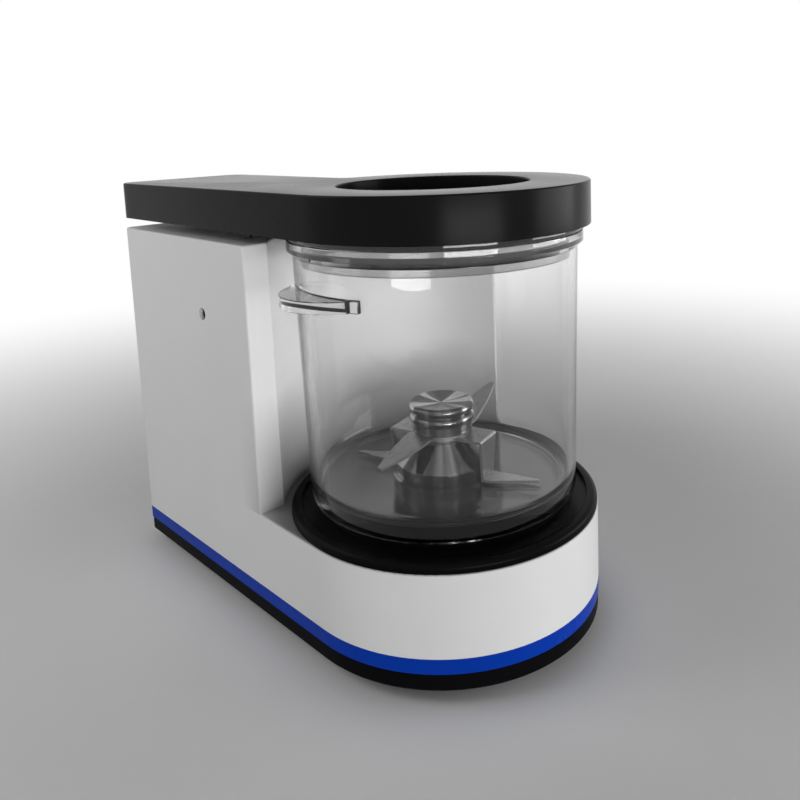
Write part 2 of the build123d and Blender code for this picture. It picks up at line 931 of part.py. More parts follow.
def make_motor_rotor():
    """Motor shaft with its rotor core inside the can."""
    high = motor_top + motor_cap_height - cap_wall - shaft_end_gap
    rotor = drum(motor_shaft_radius, pulley_bottom - shaft_end_gap, high, motor_at)
    core_radius = motor_radius - can_inset - can_wall - core_air
    core = drum(core_radius, motor_plate_top + core_lift, motor_top - core_drop, motor_at)
    return rotor + core


capacitor_margin = 39.5
capacitor_y = 70.0
capacitor_radius = 15.0
capacitor_height = 52.0
capacitor_round = 3.0


def make_run_capacitor():
    """Motor run capacitor standing on the tray."""
    at = (half_width - capacitor_margin, bowl_y + capacitor_y)
    can = drum(capacitor_radius, tray_top, tray_top + capacitor_height, at)
    return fillet(can.faces().sort_by(Axis.Z)[-1].edges(), capacitor_round)


# Control board: its place, its size and the parts on it
board_margin = 39.5
board_x = board_margin - half_width
board_y = 30.0
board_half_x = 20.0
board_half_y = 45.0
board_lift = 10.0
board_thickness = 1.6
board_post_margin = 4.0
board_post_radius = 3.5
board_pin_radius = 1.4
board_pin_reach = 2.0
board_hole_radius = 1.5
transformer_half_x = 12.0
transformer_half_y = 12.0
transformer_height = 20.0
transformer_shift = -22.0
relay_half_x = 6.0
relay_half_y = 11.0
relay_height = 15.0
relay_shift = (-8.0, 11.0)
smoothing_radius = 5.0
smoothing_height = 16.0
smoothing_shifts = ((8.0, 4.0), (8.0, 17.0))


def board_places():
    """Places of the control board's stand-offs."""
    reach_x = board_half_x - board_post_margin
    reach_y = board_half_y - board_post_margin
    return [(board_x + a * reach_x, bowl_y + board_y + b * reach_y) for a in (-1, 1) for b in (-1, 1)]


def make_board_posts():
    """Stand-offs with their screws under the control board."""
    posts = []
    low = tray_top + board_lift
    high = low + board_thickness + board_pin_reach
    for x, y in board_places():
        post = drum(board_post_radius, tray_top, low, (x, y))
        post += drum(small_screw - screw_play, foot_height + face_gap, tray_top, (x, y))
        post += drum(board_pin_radius, low, high, (x, y))
        posts.append(post)
    return joined(posts)


def make_control_board():
    """Circuit board with its relay, transformer and capacitors."""
    low = tray_top + board_lift
    top = low + board_thickness
    y = bowl_y + board_y
    board = centred_block(board_half_x, board_half_y, low, top, (board_x, y))
    for place in board_places():
        board -= drum(board_hole_radius, low, top, place)
    at = (board_x, y + transformer_shift)
    board += centred_block(transformer_half_x, transformer_half_y, top, top + transformer_height, at)
    at = (board_x + relay_shift[0], y + relay_shift[1])
    board += centred_block(relay_half_x, relay_half_y, top, top + relay_height, at)
    for x_shift, y_shift in smoothing_shifts:
        at = (board_x + x_shift, y + y_shift)
        board += drum(smoothing_radius, top, top + smoothing_height, at)
    return board


ear_top = bowl_rim - ear_drop


def bowl_outside(height):
    """Outside radius of the tapered bowl wall at a height."""
    return bowl_radius - bowl_taper * (bowl_rim - height) / bowl_height


def make_bowl():
    """Clear tapered bowl with a thick floor, a collar at its rim and one crescent ear."""
    foot = bowl_outside(bowl_bottom)
    inside_floor = bowl_outside(floor_top) - bowl_wall
    collar_low = bowl_rim - collar_height
    collar_radius = bowl_radius + collar_overhang
    body = turned(
        [
            (bush_radius, bowl_bottom),
            (foot, bowl_bottom),
            (bowl_outside(collar_low), collar_low),
            (collar_radius, collar_low + collar_overhang),
            (collar_radius, bowl_rim),
            (bowl_radius - bowl_wall, bowl_rim),
            (inside_floor, floor_top),
            (bush_radius, floor_top),
        ],
        spindle_at,
    )
    body = fillet(circles_at(body, foot, bowl_bottom), bowl_foot_round)
    body = fillet(circles_at(body, inside_floor, floor_top), bowl_floor_round)
    return body + make_ear()


def make_ear():
    """Crescent ear that the bowl is turned by: a round lobe and a narrow lip along the wall."""
    wall = bowl_outside(ear_top)
    low = ear_top - ear_thickness
    reach = wall + ear_reach

    def polar(radius, angle):
        turn = math.radians(angle)
        return (radius * math.cos(turn), radius * math.sin(turn))

    lobe_x, lobe_y = polar(reach - ear_arc, ear_middle)
    lobe = drum(ear_arc, low, ear_top, (spindle_at[0] + lobe_x, spindle_at[1] + lobe_y))
    lip = drum(wall + ear_lip, low, ear_top, spindle_at)
    wedge = make_face(Polyline((0, 0), polar(2 * reach, ear_start), polar(2 * reach, ear_end), (0, 0)))
    ends = Pos(*spindle_at) * slab(wedge, low, ear_top)
    return ((lobe + lip) & ends) - drum(wall - bowl_wall / 2, low, ear_top, spindle_at)


def make_bowl_bush():
    """Stainless bush through the bowl's floor, turning in the seat's bore and round the spindle."""
    spigot = seat_bore - running
    bush = drum(bush_flange_radius, floor_top, floor_top + bush_flange, spindle_at)
    bush += drum(bush_radius, bowl_bottom, bush_top, spindle_at)
    bush += drum(spigot, bowl_bottom - bush_spigot, bowl_bottom, spindle_at)
    return bush - drum(spindle_radius + rest_gap, bowl_bottom - bush_spigot, bush_top, spindle_at)


def make_lid():
    """Clear flat lid with a plug ring that drops inside the bowl."""
    disc = drum(bowl_radius + collar_overhang - lid_inset, lid_under, lid_top, spindle_at)
    disc = chamfer(disc.faces().sort_by(Axis.Z)[-1].edges(), lid_bevel)
    plug = tube(plug_radius, plug_radius - lid_plug_wall, lid_under - lid_plug_depth, lid_under, spindle_at)
    groove_low = lid_under - lid_plug_depth + lid_seal_lift
    groove_top = groove_low + lid_seal_height
    plug -= tube(plug_radius, plug_radius - lid_seal_section, groove_low, groove_top, spindle_at)
    return disc + plug


plug_radius = bowl_radius - bowl_wall - bowl_taper * lid_plug_depth / bowl_height - rest_gap


def make_lid_seal():
    """Flat rubber band seated round the lid's plug."""
    low = lid_under - lid_plug_depth + lid_seal_lift
    return tube(plug_radius, plug_radius - lid_seal_section, low, low + lid_seal_height, spindle_at)


def make_cutter_hub():
    """Turned hub: a plain foot, a cone and a neck that the blades lie on."""
    hub = turned(
        [
            (spindle_radius, hub_bottom),
            (hub_foot_radius, hub_bottom),
            (hub_foot_radius, hub_foot_top),
            (hub_neck_radius, hub_cone_top),
            (hub_neck_radius, hub_top),
            (spindle_radius, hub_top),
        ],
        spindle_at,
    )
    cavity = drum(bush_radius + hub_cavity_gap, hub_bottom, hub_top - hub_bore_height, spindle_at)
    return hub - cavity


def blade_place(azimuth):
    """Frame of a blade pair, turned to its azimuth about the spindle."""
    return Pos(spindle_at[0], spindle_at[1], 0) * Rot(0, 0, azimuth)


def floor_plate():
    """Side plate of the floor blade, narrower at its foot, drawn across by height."""
    half = floor_width / 2
    left = -floor_foot_width / 2 - floor_shift
    right = floor_foot_width / 2 - floor_shift
    outline = Polyline((-half, hub_top), (left, hub_bottom), (right, hub_bottom), (half, hub_top), close=True)
    face = Plane(origin=(floor_knee, 0, 0), x_dir=(0, 1, 0), z_dir=(1, 0, 0)) * make_face(outline)
    return extrude(face, amount=-blade_thickness)


def floor_wing():
    """Pointed wing of the floor blade, its tip over to one side."""
    left = -floor_foot_width / 2 - floor_shift
    right = floor_foot_width / 2 - floor_shift
    root = floor_knee - blade_thickness
    outline = Polyline(
        (root, left),
        (root + floor_root, left),
        (floor_reach, floor_tip_shift - floor_tip_half),
        (floor_reach, floor_tip_shift + floor_tip_half),
        (root, right),
        close=True,
    )
    return slab(make_face(outline), hub_bottom, hub_bottom + blade_thickness)


def make_floor_blades():
    """Blade strip with a round middle, its two ends turned down beside the hub and out along the floor."""
    low = hub_top
    high = low + blade_thickness
    strip = block(-floor_knee, floor_knee, -floor_width / 2, floor_width / 2, low, high)
    knees = [e for e in strip.edges().filter_by(Axis.Y) if abs(e.center().Z - high) < 0.01]
    strip = fillet(knees, knee_round)
    end = floor_plate() + floor_wing()
    blade = strip + drum(hub_neck_radius, low, high) + end + Rot(0, 0, 180) * end
    blade -= drum(stud_radius + screw_play, low, high)
    return blade_place(floor_azimuth) * blade


def cross_wing():
    """Leaf-shaped wing of the cross blade with a short blunt tip, lying along +X from its bend."""
    length = cross_reach - cross_root
    half = cross_width / 2
    tip = cross_tip_width / 2
    leaf = make_face(
        [
            ThreePointArc((0, -half), (length / 2, -leaf_bulge), (length, -tip)),
            Line((length, -tip), (length, tip)),
            ThreePointArc((length, tip), (length / 2, leaf_bulge), (0, half)),
            Line((0, half), (0, -half)),
        ]
    )
    return slab(leaf, 0, blade_thickness)


def make_cross_blades():
    """Blade strip with a round middle, one end bent up and the other bent down."""
    low = cross_low
    strip = block(-cross_root, cross_root, -cross_width / 2, cross_width / 2, low, low + blade_thickness)
    up = Pos(cross_root, 0, low) * Rot(0, -cross_rise, 0) * cross_wing()
    high = low + blade_thickness
    down = Pos(cross_root, 0, high) * Rot(0, cross_fall, 0) * Pos(0, 0, -blade_thickness) * cross_wing()
    blade = strip + drum(hub_neck_radius, low, high) + up + Rot(0, 0, 180) * down
    blade -= drum(stud_radius + screw_play, low, high)
    return blade_place(cross_azimuth) * blade


def make_knob_washer():
    """Thick washer between the blades and the knob."""
    return tube(knob_neck_radius, stud_radius + running, washer_low, knob_bottom, spindle_at)


def bead(low, high):
    """Round bead of the knob, turned about the spindle's axis."""
    waist = knob_radius - bead_groove
    arc = ThreePointArc((waist, low), (knob_radius, (low + high) / 2), (waist, high))
    inner = Polyline((waist, high), (stud_radius, high), (stud_radius, low), (waist, low))
    profile = Plane.XZ * make_face([arc, inner])
    return Pos(*spindle_at) * revolve(profile, Axis.Z)


def make_cutter_knob():
    """Turned clamping knob: a neck, two rounded beads and a dished top."""
    neck_top = knob_bottom + knob_neck_height
    second = neck_top + bead_height + bead_gap
    waist = knob_radius - bead_groove
    knob = drum(knob_neck_radius, knob_bottom, neck_top, spindle_at)
    knob += drum(waist, neck_top, knob_top, spindle_at)
    knob += bead(neck_top, neck_top + bead_height)
    knob += bead(second, knob_top)
    dish_radius = (waist**2 + knob_dish**2) / (2 * knob_dish)
    knob -= Pos(spindle_at[0], spindle_at[1], knob_top - knob_dish + dish_radius) * Sphere(dish_radius)
    return knob - drum(stud_radius + running, knob_bottom, knob_top - knob_bore_depth, spindle_at)


def arm_plan(inset):
    """Keyhole plan of the arm: a round head over the bowl and a neck along the near side."""
    head = Pos(0, bowl_y) * Circle(arm_radius - inset)
    near = -arm_radius + inset
    far = arm_neck_far - inset
    back = bowl_y + arm_reach_back - inset
    neck = Pos((near + far) / 2, (bowl_y + back) / 2) * Rectangle(far - near, back - bowl_y)
    neck = fillet(neck.vertices().group_by(Axis.Y)[-1], arm_corner - inset)
    plan = head + neck
    notch_y = bowl_y + math.sqrt((arm_radius - inset) ** 2 - far**2)
    notch = [v for v in plan.vertices() if abs(v.X - far) < 0.01 and abs(v.Y - notch_y) < 0.01]
    return fillet(notch, arm_inner_corner)


def arm_screw_places():
    """Places of the screws that close the arm from below."""
    ring = feed_radius + arm_wall + arm_screw_room + small_head
    places = []
    for angle in arm_screw_angles:
        a = math.radians(angle)
        places.append((ring * math.cos(a), bowl_y + ring * math.sin(a)))
    back = bowl_y + arm_reach_back - arm_wall - arm_screw_margin
    places.append((-arm_radius + arm_wall + arm_screw_margin, back))
    places.append((arm_neck_far - arm_wall - arm_screw_margin, back))
    return places


arm_screw_room = 6.4
arm_screw_angles = (-150, -90, -30, 30)
arm_screw_margin = 10.0
arm_screw_pillar = 1.0
arm_screw_sink = 1.5
arm_screw_reach = 10.0
arm_screw_hole = 12.0
arm_plate_top = arm_under + arm_plate
arm_inside_top = arm_top - arm_wall


def make_arm_shell():
    """Black arm casing: top, side wall and the sleeve of the feed hole, open below."""
    arm = slab(arm_plan(0), arm_under, arm_top)
    arm = fillet(arm.faces().sort_by(Axis.Z)[-1].edges(), arm_edge)
    sleeve = feed_radius + arm_wall
    hollow = slab(arm_plan(arm_wall), arm_under, arm_inside_top)
    hollow -= drum(sleeve, arm_under, arm_inside_top, spindle_at)
    arm -= hollow
    for x, y in arm_screw_places():
        arm += drum(small_head + arm_screw_pillar, arm_plate_top + face_gap, arm_inside_top, (x, y))
        arm -= drum(small_screw, arm_plate_top, arm_plate_top + arm_screw_hole, (x, y))
    arm -= drum(feed_radius, arm_under, arm_top, spindle_at)
    return fillet(circles_at(arm, feed_radius, arm_top), arm_edge)


arm_boss_height = 10.0
arm_boss_wall = 8.0
arm_boss_top = arm_plate_top + arm_boss_height


def make_arm_underplate():
    """Flat plate that closes the arm from below and carries the post's bush."""
    plan = arm_plan(arm_wall + face_gap)
    plan -= Pos(*spindle_at) * Circle(feed_radius + arm_wall + face_gap)
    plate = slab(plan, arm_under, arm_plate_top)
    plate += drum(journal_radius + bush_wall + arm_boss_wall, arm_plate_top, arm_boss_top, post_at)
    plate -= drum(journal_radius + bush_wall, arm_under, arm_boss_top, post_at)
    for x, y in arm_screw_places():
        plate -= drum(small_screw + screw_play, arm_under, arm_plate_top, (x, y))
        plate -= drum(small_head + screw_play, arm_under, arm_under + arm_screw_sink, (x, y))
    return plate


def make_arm_screws():
    """Screws sunk in the arm's underplate."""
    screws = []
    for x, y in arm_screw_places():
        head = drum(small_head, arm_under + face_gap, arm_under + arm_screw_sink, (x, y))
        high = arm_plate_top + arm_screw_reach
        shank = drum(small_screw - screw_play, arm_under + arm_screw_sink, high, (x, y))
        screws.append(head + shank)
    return joined(screws)


def make_arm_bush():
    """Bronze bush in the arm's boss, turning on the post's journal."""
    return tube(journal_radius + bush_wall, journal_radius + running, arm_under, arm_boss_top, post_at)


guide_high = tower_under
guide_low = guide_high - guide_length
guide_flange_thickness = 4.0
guide_screw_bite = 2.2
collar_thickness = 8.0
post_bottom = guide_low - arm_lift - collar_thickness - rest_gap
post_flange_low = arm_boss_top + rest_gap
post_flange_thickness = 4.0
post_flange_top = post_flange_low + post_flange_thickness
lock_screw_radius = 4.0
lock_screw_stand = 4.0
lock_socket_radius = 2.4
lock_socket_depth = 4.0
keyway_depth = 3.0
collar_width = 6.0
collar_split = 1.0
guide_screw_gap = 0.1


def guide_screw_places():
    """Places of the screws that hold the post guide under the tower's top."""
    reach = guide_outer + small_head + guide_screw_gap
    places = []
    for angle in (45, 135, 225, 315):
        a = math.radians(angle)
        places.append((post_at[0] + reach * math.cos(a), post_at[1] + reach * math.sin(a)))
    return places


def make_post_guide():
    """Flanged guide tube for the arm post, hung under the tower's top."""
    guide = drum(guide_outer, guide_low, guide_high, post_at)
    guide += drum(guide_flange, guide_high - guide_flange_thickness, guide_high, post_at)
    guide -= drum(guide_bore, guide_low, guide_high, post_at)
    for x, y in guide_screw_places():
        guide -= drum(small_screw, guide_high - guide_flange_thickness, guide_high, (x, y))
    start = (post_at[0] - guide_outer - guide_wall, post_at[1], side_hole_z)
    return guide - lying(lock_screw_radius + running, start, 3 * guide_wall, (1, 0, 0))


def make_guide_screws():
    """Screws driven from below through the guide's flange into the tower's top."""
    screws = []
    for x, y in guide_screw_places():
        low = guide_high - guide_flange_thickness
        shank = drum(small_screw, low, tower_under + guide_screw_bite, (x, y))
        head = drum(small_head, low - small_head_height, low, (x, y))
        screws.append(shank + head)
    return joined(screws)


def make_post_bushes():
    """Upper and lower bronze bushes in the post guide."""
    bore = post_radius + running
    upper = tube(guide_bore, bore, guide_high - bush_length, guide_high, post_at)
    lower = tube(guide_bore, bore, guide_low, guide_low + bush_length, post_at)
    return joined([upper, lower])


def make_lock_screw():
    """Set screw behind the side hole: it stands in the post's keyway and keeps the post from turning."""
    tip = post_radius - keyway_depth + rest_gap
    back = guide_outer + lock_screw_stand
    start = (post_at[0] - back, post_at[1], side_hole_z)
    screw = lying(lock_screw_radius, start, back - tip, (1, 0, 0))
    socket = Plane(origin=start, z_dir=(1, 0, 0)) * RegularPolygon(lock_socket_radius, 6)
    return screw - extrude(socket, amount=lock_socket_depth)


def make_arm_post():
    """Steel post with a keyway, a journal and a top flange held inside the arm."""
    post = drum(post_radius, post_bottom, arm_under - rest_gap, post_at)
    post += drum(journal_radius, arm_under - rest_gap, post_flange_top, post_at)
    post += drum(journal_radius + bush_wall, post_flange_low, post_flange_top, post_at)
    half = lock_screw_radius + rest_gap
    low = side_hole_z - arm_lift - half - rest_gap
    high = side_hole_z + half + rest_gap
    keyway = block(
        post_at[0] - post_radius - keyway_depth,
        post_at[0] - post_radius + keyway_depth,
        post_at[1] - half,
        post_at[1] + half,
        low,
        high,
    )
    return post - keyway


def make_post_collar():
    """Split stop collar clamped on the foot of the post."""
    collar = tube(post_radius + collar_width, post_radius, post_bottom, post_bottom + collar_thickness, post_at)
    split = block(
        post_at[0],
        post_at[0] + post_radius + 2 * collar_width,
        post_at[1] - collar_split,
        post_at[1] + collar_split,
        post_bottom,
        post_bottom + collar_thickness,
    )
    return collar - split


switch_body_half_x = 5.0
switch_body_half_y = 14.0
switch_body_height = 16.0
tab_half_x = 0.4
tab_half_y = 1.5
tab_length = 5.0
tab_pitch = 8.0
bracket_thickness = 1.5
bracket_inset = 2.0
bracket_foot = 8.0


def make_interlock_switch():
    """Snap switch under the interlock plunger."""
    low = switch_body_top - switch_body_height
    x, y = plunger_at
    body = centred_block(switch_body_half_x, switch_body_half_y, low, switch_body_top, (x, y))
    for step in (-1, 0, 1):
        body += centred_block(tab_half_x, tab_half_y, low - tab_length, low, (x, y + step * tab_pitch))
    return body


def make_interlock_bracket():
    """Angle that carries the interlock switch off the tower's side wall."""
    x, y = plunger_at
    low = switch_body_top - switch_body_height
    side = -half_width + wall
    face = x - switch_body_half_x
    web = block(
        side,
        face,
        y - switch_body_half_y,
        y + switch_body_half_y,
        low + bracket_inset,
        low + bracket_inset + bracket_thickness,
    )
    upright = block(
        face - bracket_thickness,
        face,
        y - switch_body_half_y,
        y + switch_body_half_y,
        low + bracket_inset,
        switch_body_top - bracket_inset,
    )
    foot = block(
        side,
        side + bracket_thickness,
        y - switch_body_half_y,
        y + switch_body_half_y,
        low - bracket_foot,
        low + bracket_inset + bracket_thickness,
    )
    return web + upright + foot


def make_interlock_plunger():
    """Sprung pin that stands out of the tower's top and is pressed by the closed arm."""
    pin = drum(plunger_radius, plunger_bottom, plunger_top, plunger_at)
    pin = fillet(pin.faces().sort_by(Axis.Z)[-1].edges(), plunger_tip_round)
    high = tower_under - rest_gap
    return pin + drum(plunger_radius + plunger_collar, high - plunger_collar_height, high, plunger_at)


NODES = {
    "base_tray": make_base_tray,
    "rubber_feet": make_rubber_feet,
    "foot_screws": make_foot_screws,
    "stripe_band": make_stripe_band,
    "housing_shell": make_housing_shell,
    "rear_cover": make_rear_cover,
    "rear_cover_screws": make_rear_cover_screws,
    "power_inlet": make_power_inlet,
    "switch_frame": make_switch_frame,
    "switch_rocker": make_switch_rocker,
    "bowl_seat": make_bowl_seat,
    "spindle_housing": make_spindle_housing,
    "flange_screws": make_flange_screws,
    "upper_bearing": make_upper_bearing,
    "lower_bearing": make_lower_bearing,
    "shaft_seal": make_shaft_seal,
    "drive_spindle": make_drive_spindle,
    "driven_pulley": make_driven_pulley,
    "pulley_nut": make_pulley_nut,
    "motor_pulley": make_motor_pulley,
    "drive_belt": make_drive_belt,
    "motor_bracket": make_motor_bracket,
    "motor_leg_screws": make_motor_leg_screws,
    "motor_can": make_motor_can,
    "motor_cap": make_motor_cap,
    "motor_bearings": make_motor_bearings,
    "motor_bolts": make_motor_bolts,
    "motor_rotor": make_motor_rotor,
    "run_capacitor": make_run_capacitor,
    "control_board": make_control_board,
    "board_posts": make_board_posts,
    "bowl": make_bowl,
    "bowl_bush": make_bowl_bush,
    "lid": make_lid,
    "lid_seal": make_lid_seal,
    "cutter_hub": make_cutter_hub,
    "floor_blades": make_floor_blades,
    "cross_blades": make_cross_blades,
    "knob_washer": make_knob_washer,
    "cutter_knob": make_cutter_knob,
    "arm_shell": make_arm_shell,
    "arm_underplate": make_arm_underplate,
    "arm_screws": make_arm_screws,
    "arm_bush": make_arm_bush,
    "arm_post": make_arm_post,
    "post_collar": make_post_collar,
    "post_guide": make_post_guide,
    "guide_screws": make_guide_screws,
    "post_bushes": make_post_bushes,
    "lock_screw": make_lock_screw,
    "interlock_switch": make_interlock_switch,
    "interlock_bracket": make_interlock_bracket,
    "interlock_plunger": make_interlock_plunger,
}

# The ear stands out on the left, so the whole object moves right until its box is centred.
ear_over = bowl_outside(ear_top) + ear_reach - half_width
centred = Pos(ear_over / 2, 0, 0)

os.makedirs("parts", exist_ok=True)
for node, maker in NODES.items():
    export_step(centred * maker(), f"parts/{node}.step")
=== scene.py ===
"""Looks of the bench tissue grinder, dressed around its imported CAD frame.

Places are in the CAD frame: +Z up, the bowl towards -Y, and the origin on the table
under the middle of the object. The sizes of the sub-assemblies, and all values whose
name ends in _mm, are millimetres. Other lengths are metres.
"""
import logging
import math
from dataclasses import dataclass
from enum import Enum
from typing import Iterable, Sequence

import bmesh
import bpy
import numpy as np
from mathutils import Matrix, Vector


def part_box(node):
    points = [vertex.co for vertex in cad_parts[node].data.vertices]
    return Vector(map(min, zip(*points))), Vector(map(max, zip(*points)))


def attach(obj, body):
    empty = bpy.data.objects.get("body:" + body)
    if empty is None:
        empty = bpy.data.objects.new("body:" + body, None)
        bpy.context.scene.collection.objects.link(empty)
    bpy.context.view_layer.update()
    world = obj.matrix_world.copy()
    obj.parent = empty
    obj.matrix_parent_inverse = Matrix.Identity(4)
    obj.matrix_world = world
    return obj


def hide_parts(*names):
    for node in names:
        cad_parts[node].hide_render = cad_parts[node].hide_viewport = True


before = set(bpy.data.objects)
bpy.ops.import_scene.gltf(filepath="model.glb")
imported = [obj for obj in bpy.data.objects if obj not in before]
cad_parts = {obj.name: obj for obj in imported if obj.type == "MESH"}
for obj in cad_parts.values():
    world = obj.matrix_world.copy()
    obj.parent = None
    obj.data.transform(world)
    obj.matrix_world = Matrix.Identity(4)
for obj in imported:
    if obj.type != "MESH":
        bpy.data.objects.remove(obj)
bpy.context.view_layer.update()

MM = 0.001
LOG = logging.getLogger("tissue_grinder")

# Edges flatter than this are shaded smooth
SMOOTH_ANGLE = math.radians(35)

# Steps round the axis of a large turned piece
FINE_TURN = 256

Corner = tuple[float, float, float]
Place = tuple[float, float, float]
Colour = tuple[float, float, float, float]
Source = bpy.types.Node | bpy.types.NodeSocket
Piece = bpy.types.Object


# Places read from the frame


def centre_of(node: str) -> tuple[float, float]:
    """Middle of a CAD node's box in metres, seen from above."""
    low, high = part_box(node)
    return (low.x + high.x) / 2, (low.y + high.y) / 2


def low_of(node: str) -> float:
    """Height of a CAD node's underside in millimetres."""
    return round(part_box(node)[0].z / MM, 3)


def high_of(node: str) -> float:
    """Height of a CAD node's top in millimetres."""
    return round(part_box(node)[1].z / MM, 3)


AXIS = centre_of("bowl_seat")


# Colour and node helpers


def linear(code: str) -> Colour:
    """Turn an sRGB hex code into linear light.

    Args:
        code: Six hex digits.

    Returns:
        Linear red, green, blue and an alpha of one.
    """
    channels = [int(code[i : i + 2], 16) / 255 for i in (0, 2, 4)]
    light = [c / 12.92 if c <= 0.04045 else ((c + 0.055) / 1.055) ** 2.4 for c in channels]
    return light[0], light[1], light[2], 1.0


def shade(colour: Colour, factor: float) -> Colour:
    """Scale a linear colour's light and keep it in range."""
    return tuple(min(1.0, c * factor) for c in colour[:3]) + (1.0,)


def grey(value: float) -> Colour:
    """Opaque grey of one value."""
    return value, value, value, 1.0


class Nodes:
    """Node tree of a material or of the world, to which nodes are added."""

    def __init__(self, tree: bpy.types.NodeTree) -> None:
        """Keep the tree."""
        self.tree = tree

    def fill(
        self, node: bpy.types.Node, values: dict | None = None, links: dict | None = None
    ) -> None:
        """Set a node's input values and join sources to its inputs.

        Args:
            node: The node.
            values: Values of its inputs, by name or number.
            links: Nodes, for their first output, or sockets, by the input they join.
        """
        for key, value in (values or {}).items():
            node.inputs[key].default_value = value
        for key, source in (links or {}).items():
            socket = source.outputs[0] if isinstance(source, bpy.types.Node) else source
            self.tree.links.new(socket, node.inputs[key])

    def add(
        self,
        kind: str,
        settings: dict[str, str] | None = None,
        values: dict | None = None,
        links: dict | None = None,
        stops: Sequence[tuple[float, Colour]] = (),
    ) -> bpy.types.Node:
        """Add one node with its settings, input values, links and colour stops.

        Args:
            kind: Blender's name of the node's type, after the word ShaderNode.
            settings: Properties of the node.
            values: Values of its inputs, by name or number.
            links: Nodes, for their first output, or sockets, by the input they join.
            stops: Place and linear colour of each stop of a colour ramp, from low to high.

        Returns:
            The new node.
        """
        node = self.tree.nodes.new("ShaderNode" + kind)
        for key, value in (settings or {}).items():
            setattr(node, key, value)
        self.fill(node, values, links)
        for index, (spot, colour) in enumerate(stops):
            band = node.color_ramp.elements
            element = band[index] if index < len(band) else band.new(spot)
            element.position, element.color = spot, colour
        return node

    def finish(self, values: dict, links: dict) -> None:
        """Set values on a material's Principled shader and join sources to it."""
        self.fill(self.tree.nodes["Principled BSDF"], values, links)

    def from_axis(self, place: Source) -> tuple[Source, Source]:
        """Split a place into its way out from the bowl's axis and its height.

        Args:
            place: Object coordinates.

        Returns:
            The level vector out from the axis, and the height.
        """
        parts = self.add("SeparateXYZ", links={0: place}).outputs
        flat = self.add("CombineXYZ", links={"X": parts[0], "Y": parts[1]})
        outward = self.add(
            "VectorMath", {"operation": "SUBTRACT"}, values={1: (*AXIS, 0.0)}, links={0: flat}
        )
        return outward, parts[2]

    def looked_at(self) -> Source:
        """Tell where the eye looks straight, by gloss or through glass.

        Returns:
            One there, and nought elsewhere.
        """
        path = self.add("LightPath").outputs
        seen = path["Is Camera Ray"]
        for other in ("Is Glossy Ray", "Is Transmission Ray"):
            seen = self.add("Math", {"operation": "MAXIMUM"}, links={0: seen, 1: path[other]})
        return seen


# Finishes

# Size of the broad patches in a coating's colour and gloss
PATCH_MM = 55.56

# Distances from the bowl's axis over which the painted shade on the white paint thins out
PAINTED_SHADE_INNER_MM, PAINTED_SHADE_OUTER_MM = 112.0, 150.0

# Heights between which the painted shade is drawn
PAINTED_SHADE_LOW_MM, PAINTED_SHADE_HIGH_MM = 80.0, 180.0


class Finish:
    """Look of a surface, whose kinds each paint their own pattern."""

    name: str

    def paint(self, nodes: Nodes, place: Source) -> None:
        """Paint the pattern, which reads object coordinates."""
        raise NotImplementedError

    def build(self) -> bpy.types.Material:
        """Make the material.

        Returns:
            The material with its pattern.
        """
        material = bpy.data.materials.new(self.name)
        material.use_nodes = True
        nodes = Nodes(material.node_tree)
        self.paint(nodes, nodes.add("TexCoord").outputs["Object"])
        return material


class Grain(Enum):
    """Directions that a metal's working marks can run in."""

    TURNED = "rings about the upright axis"
    GROUND = "lines along the piece"
    CAST = "even fine pits"


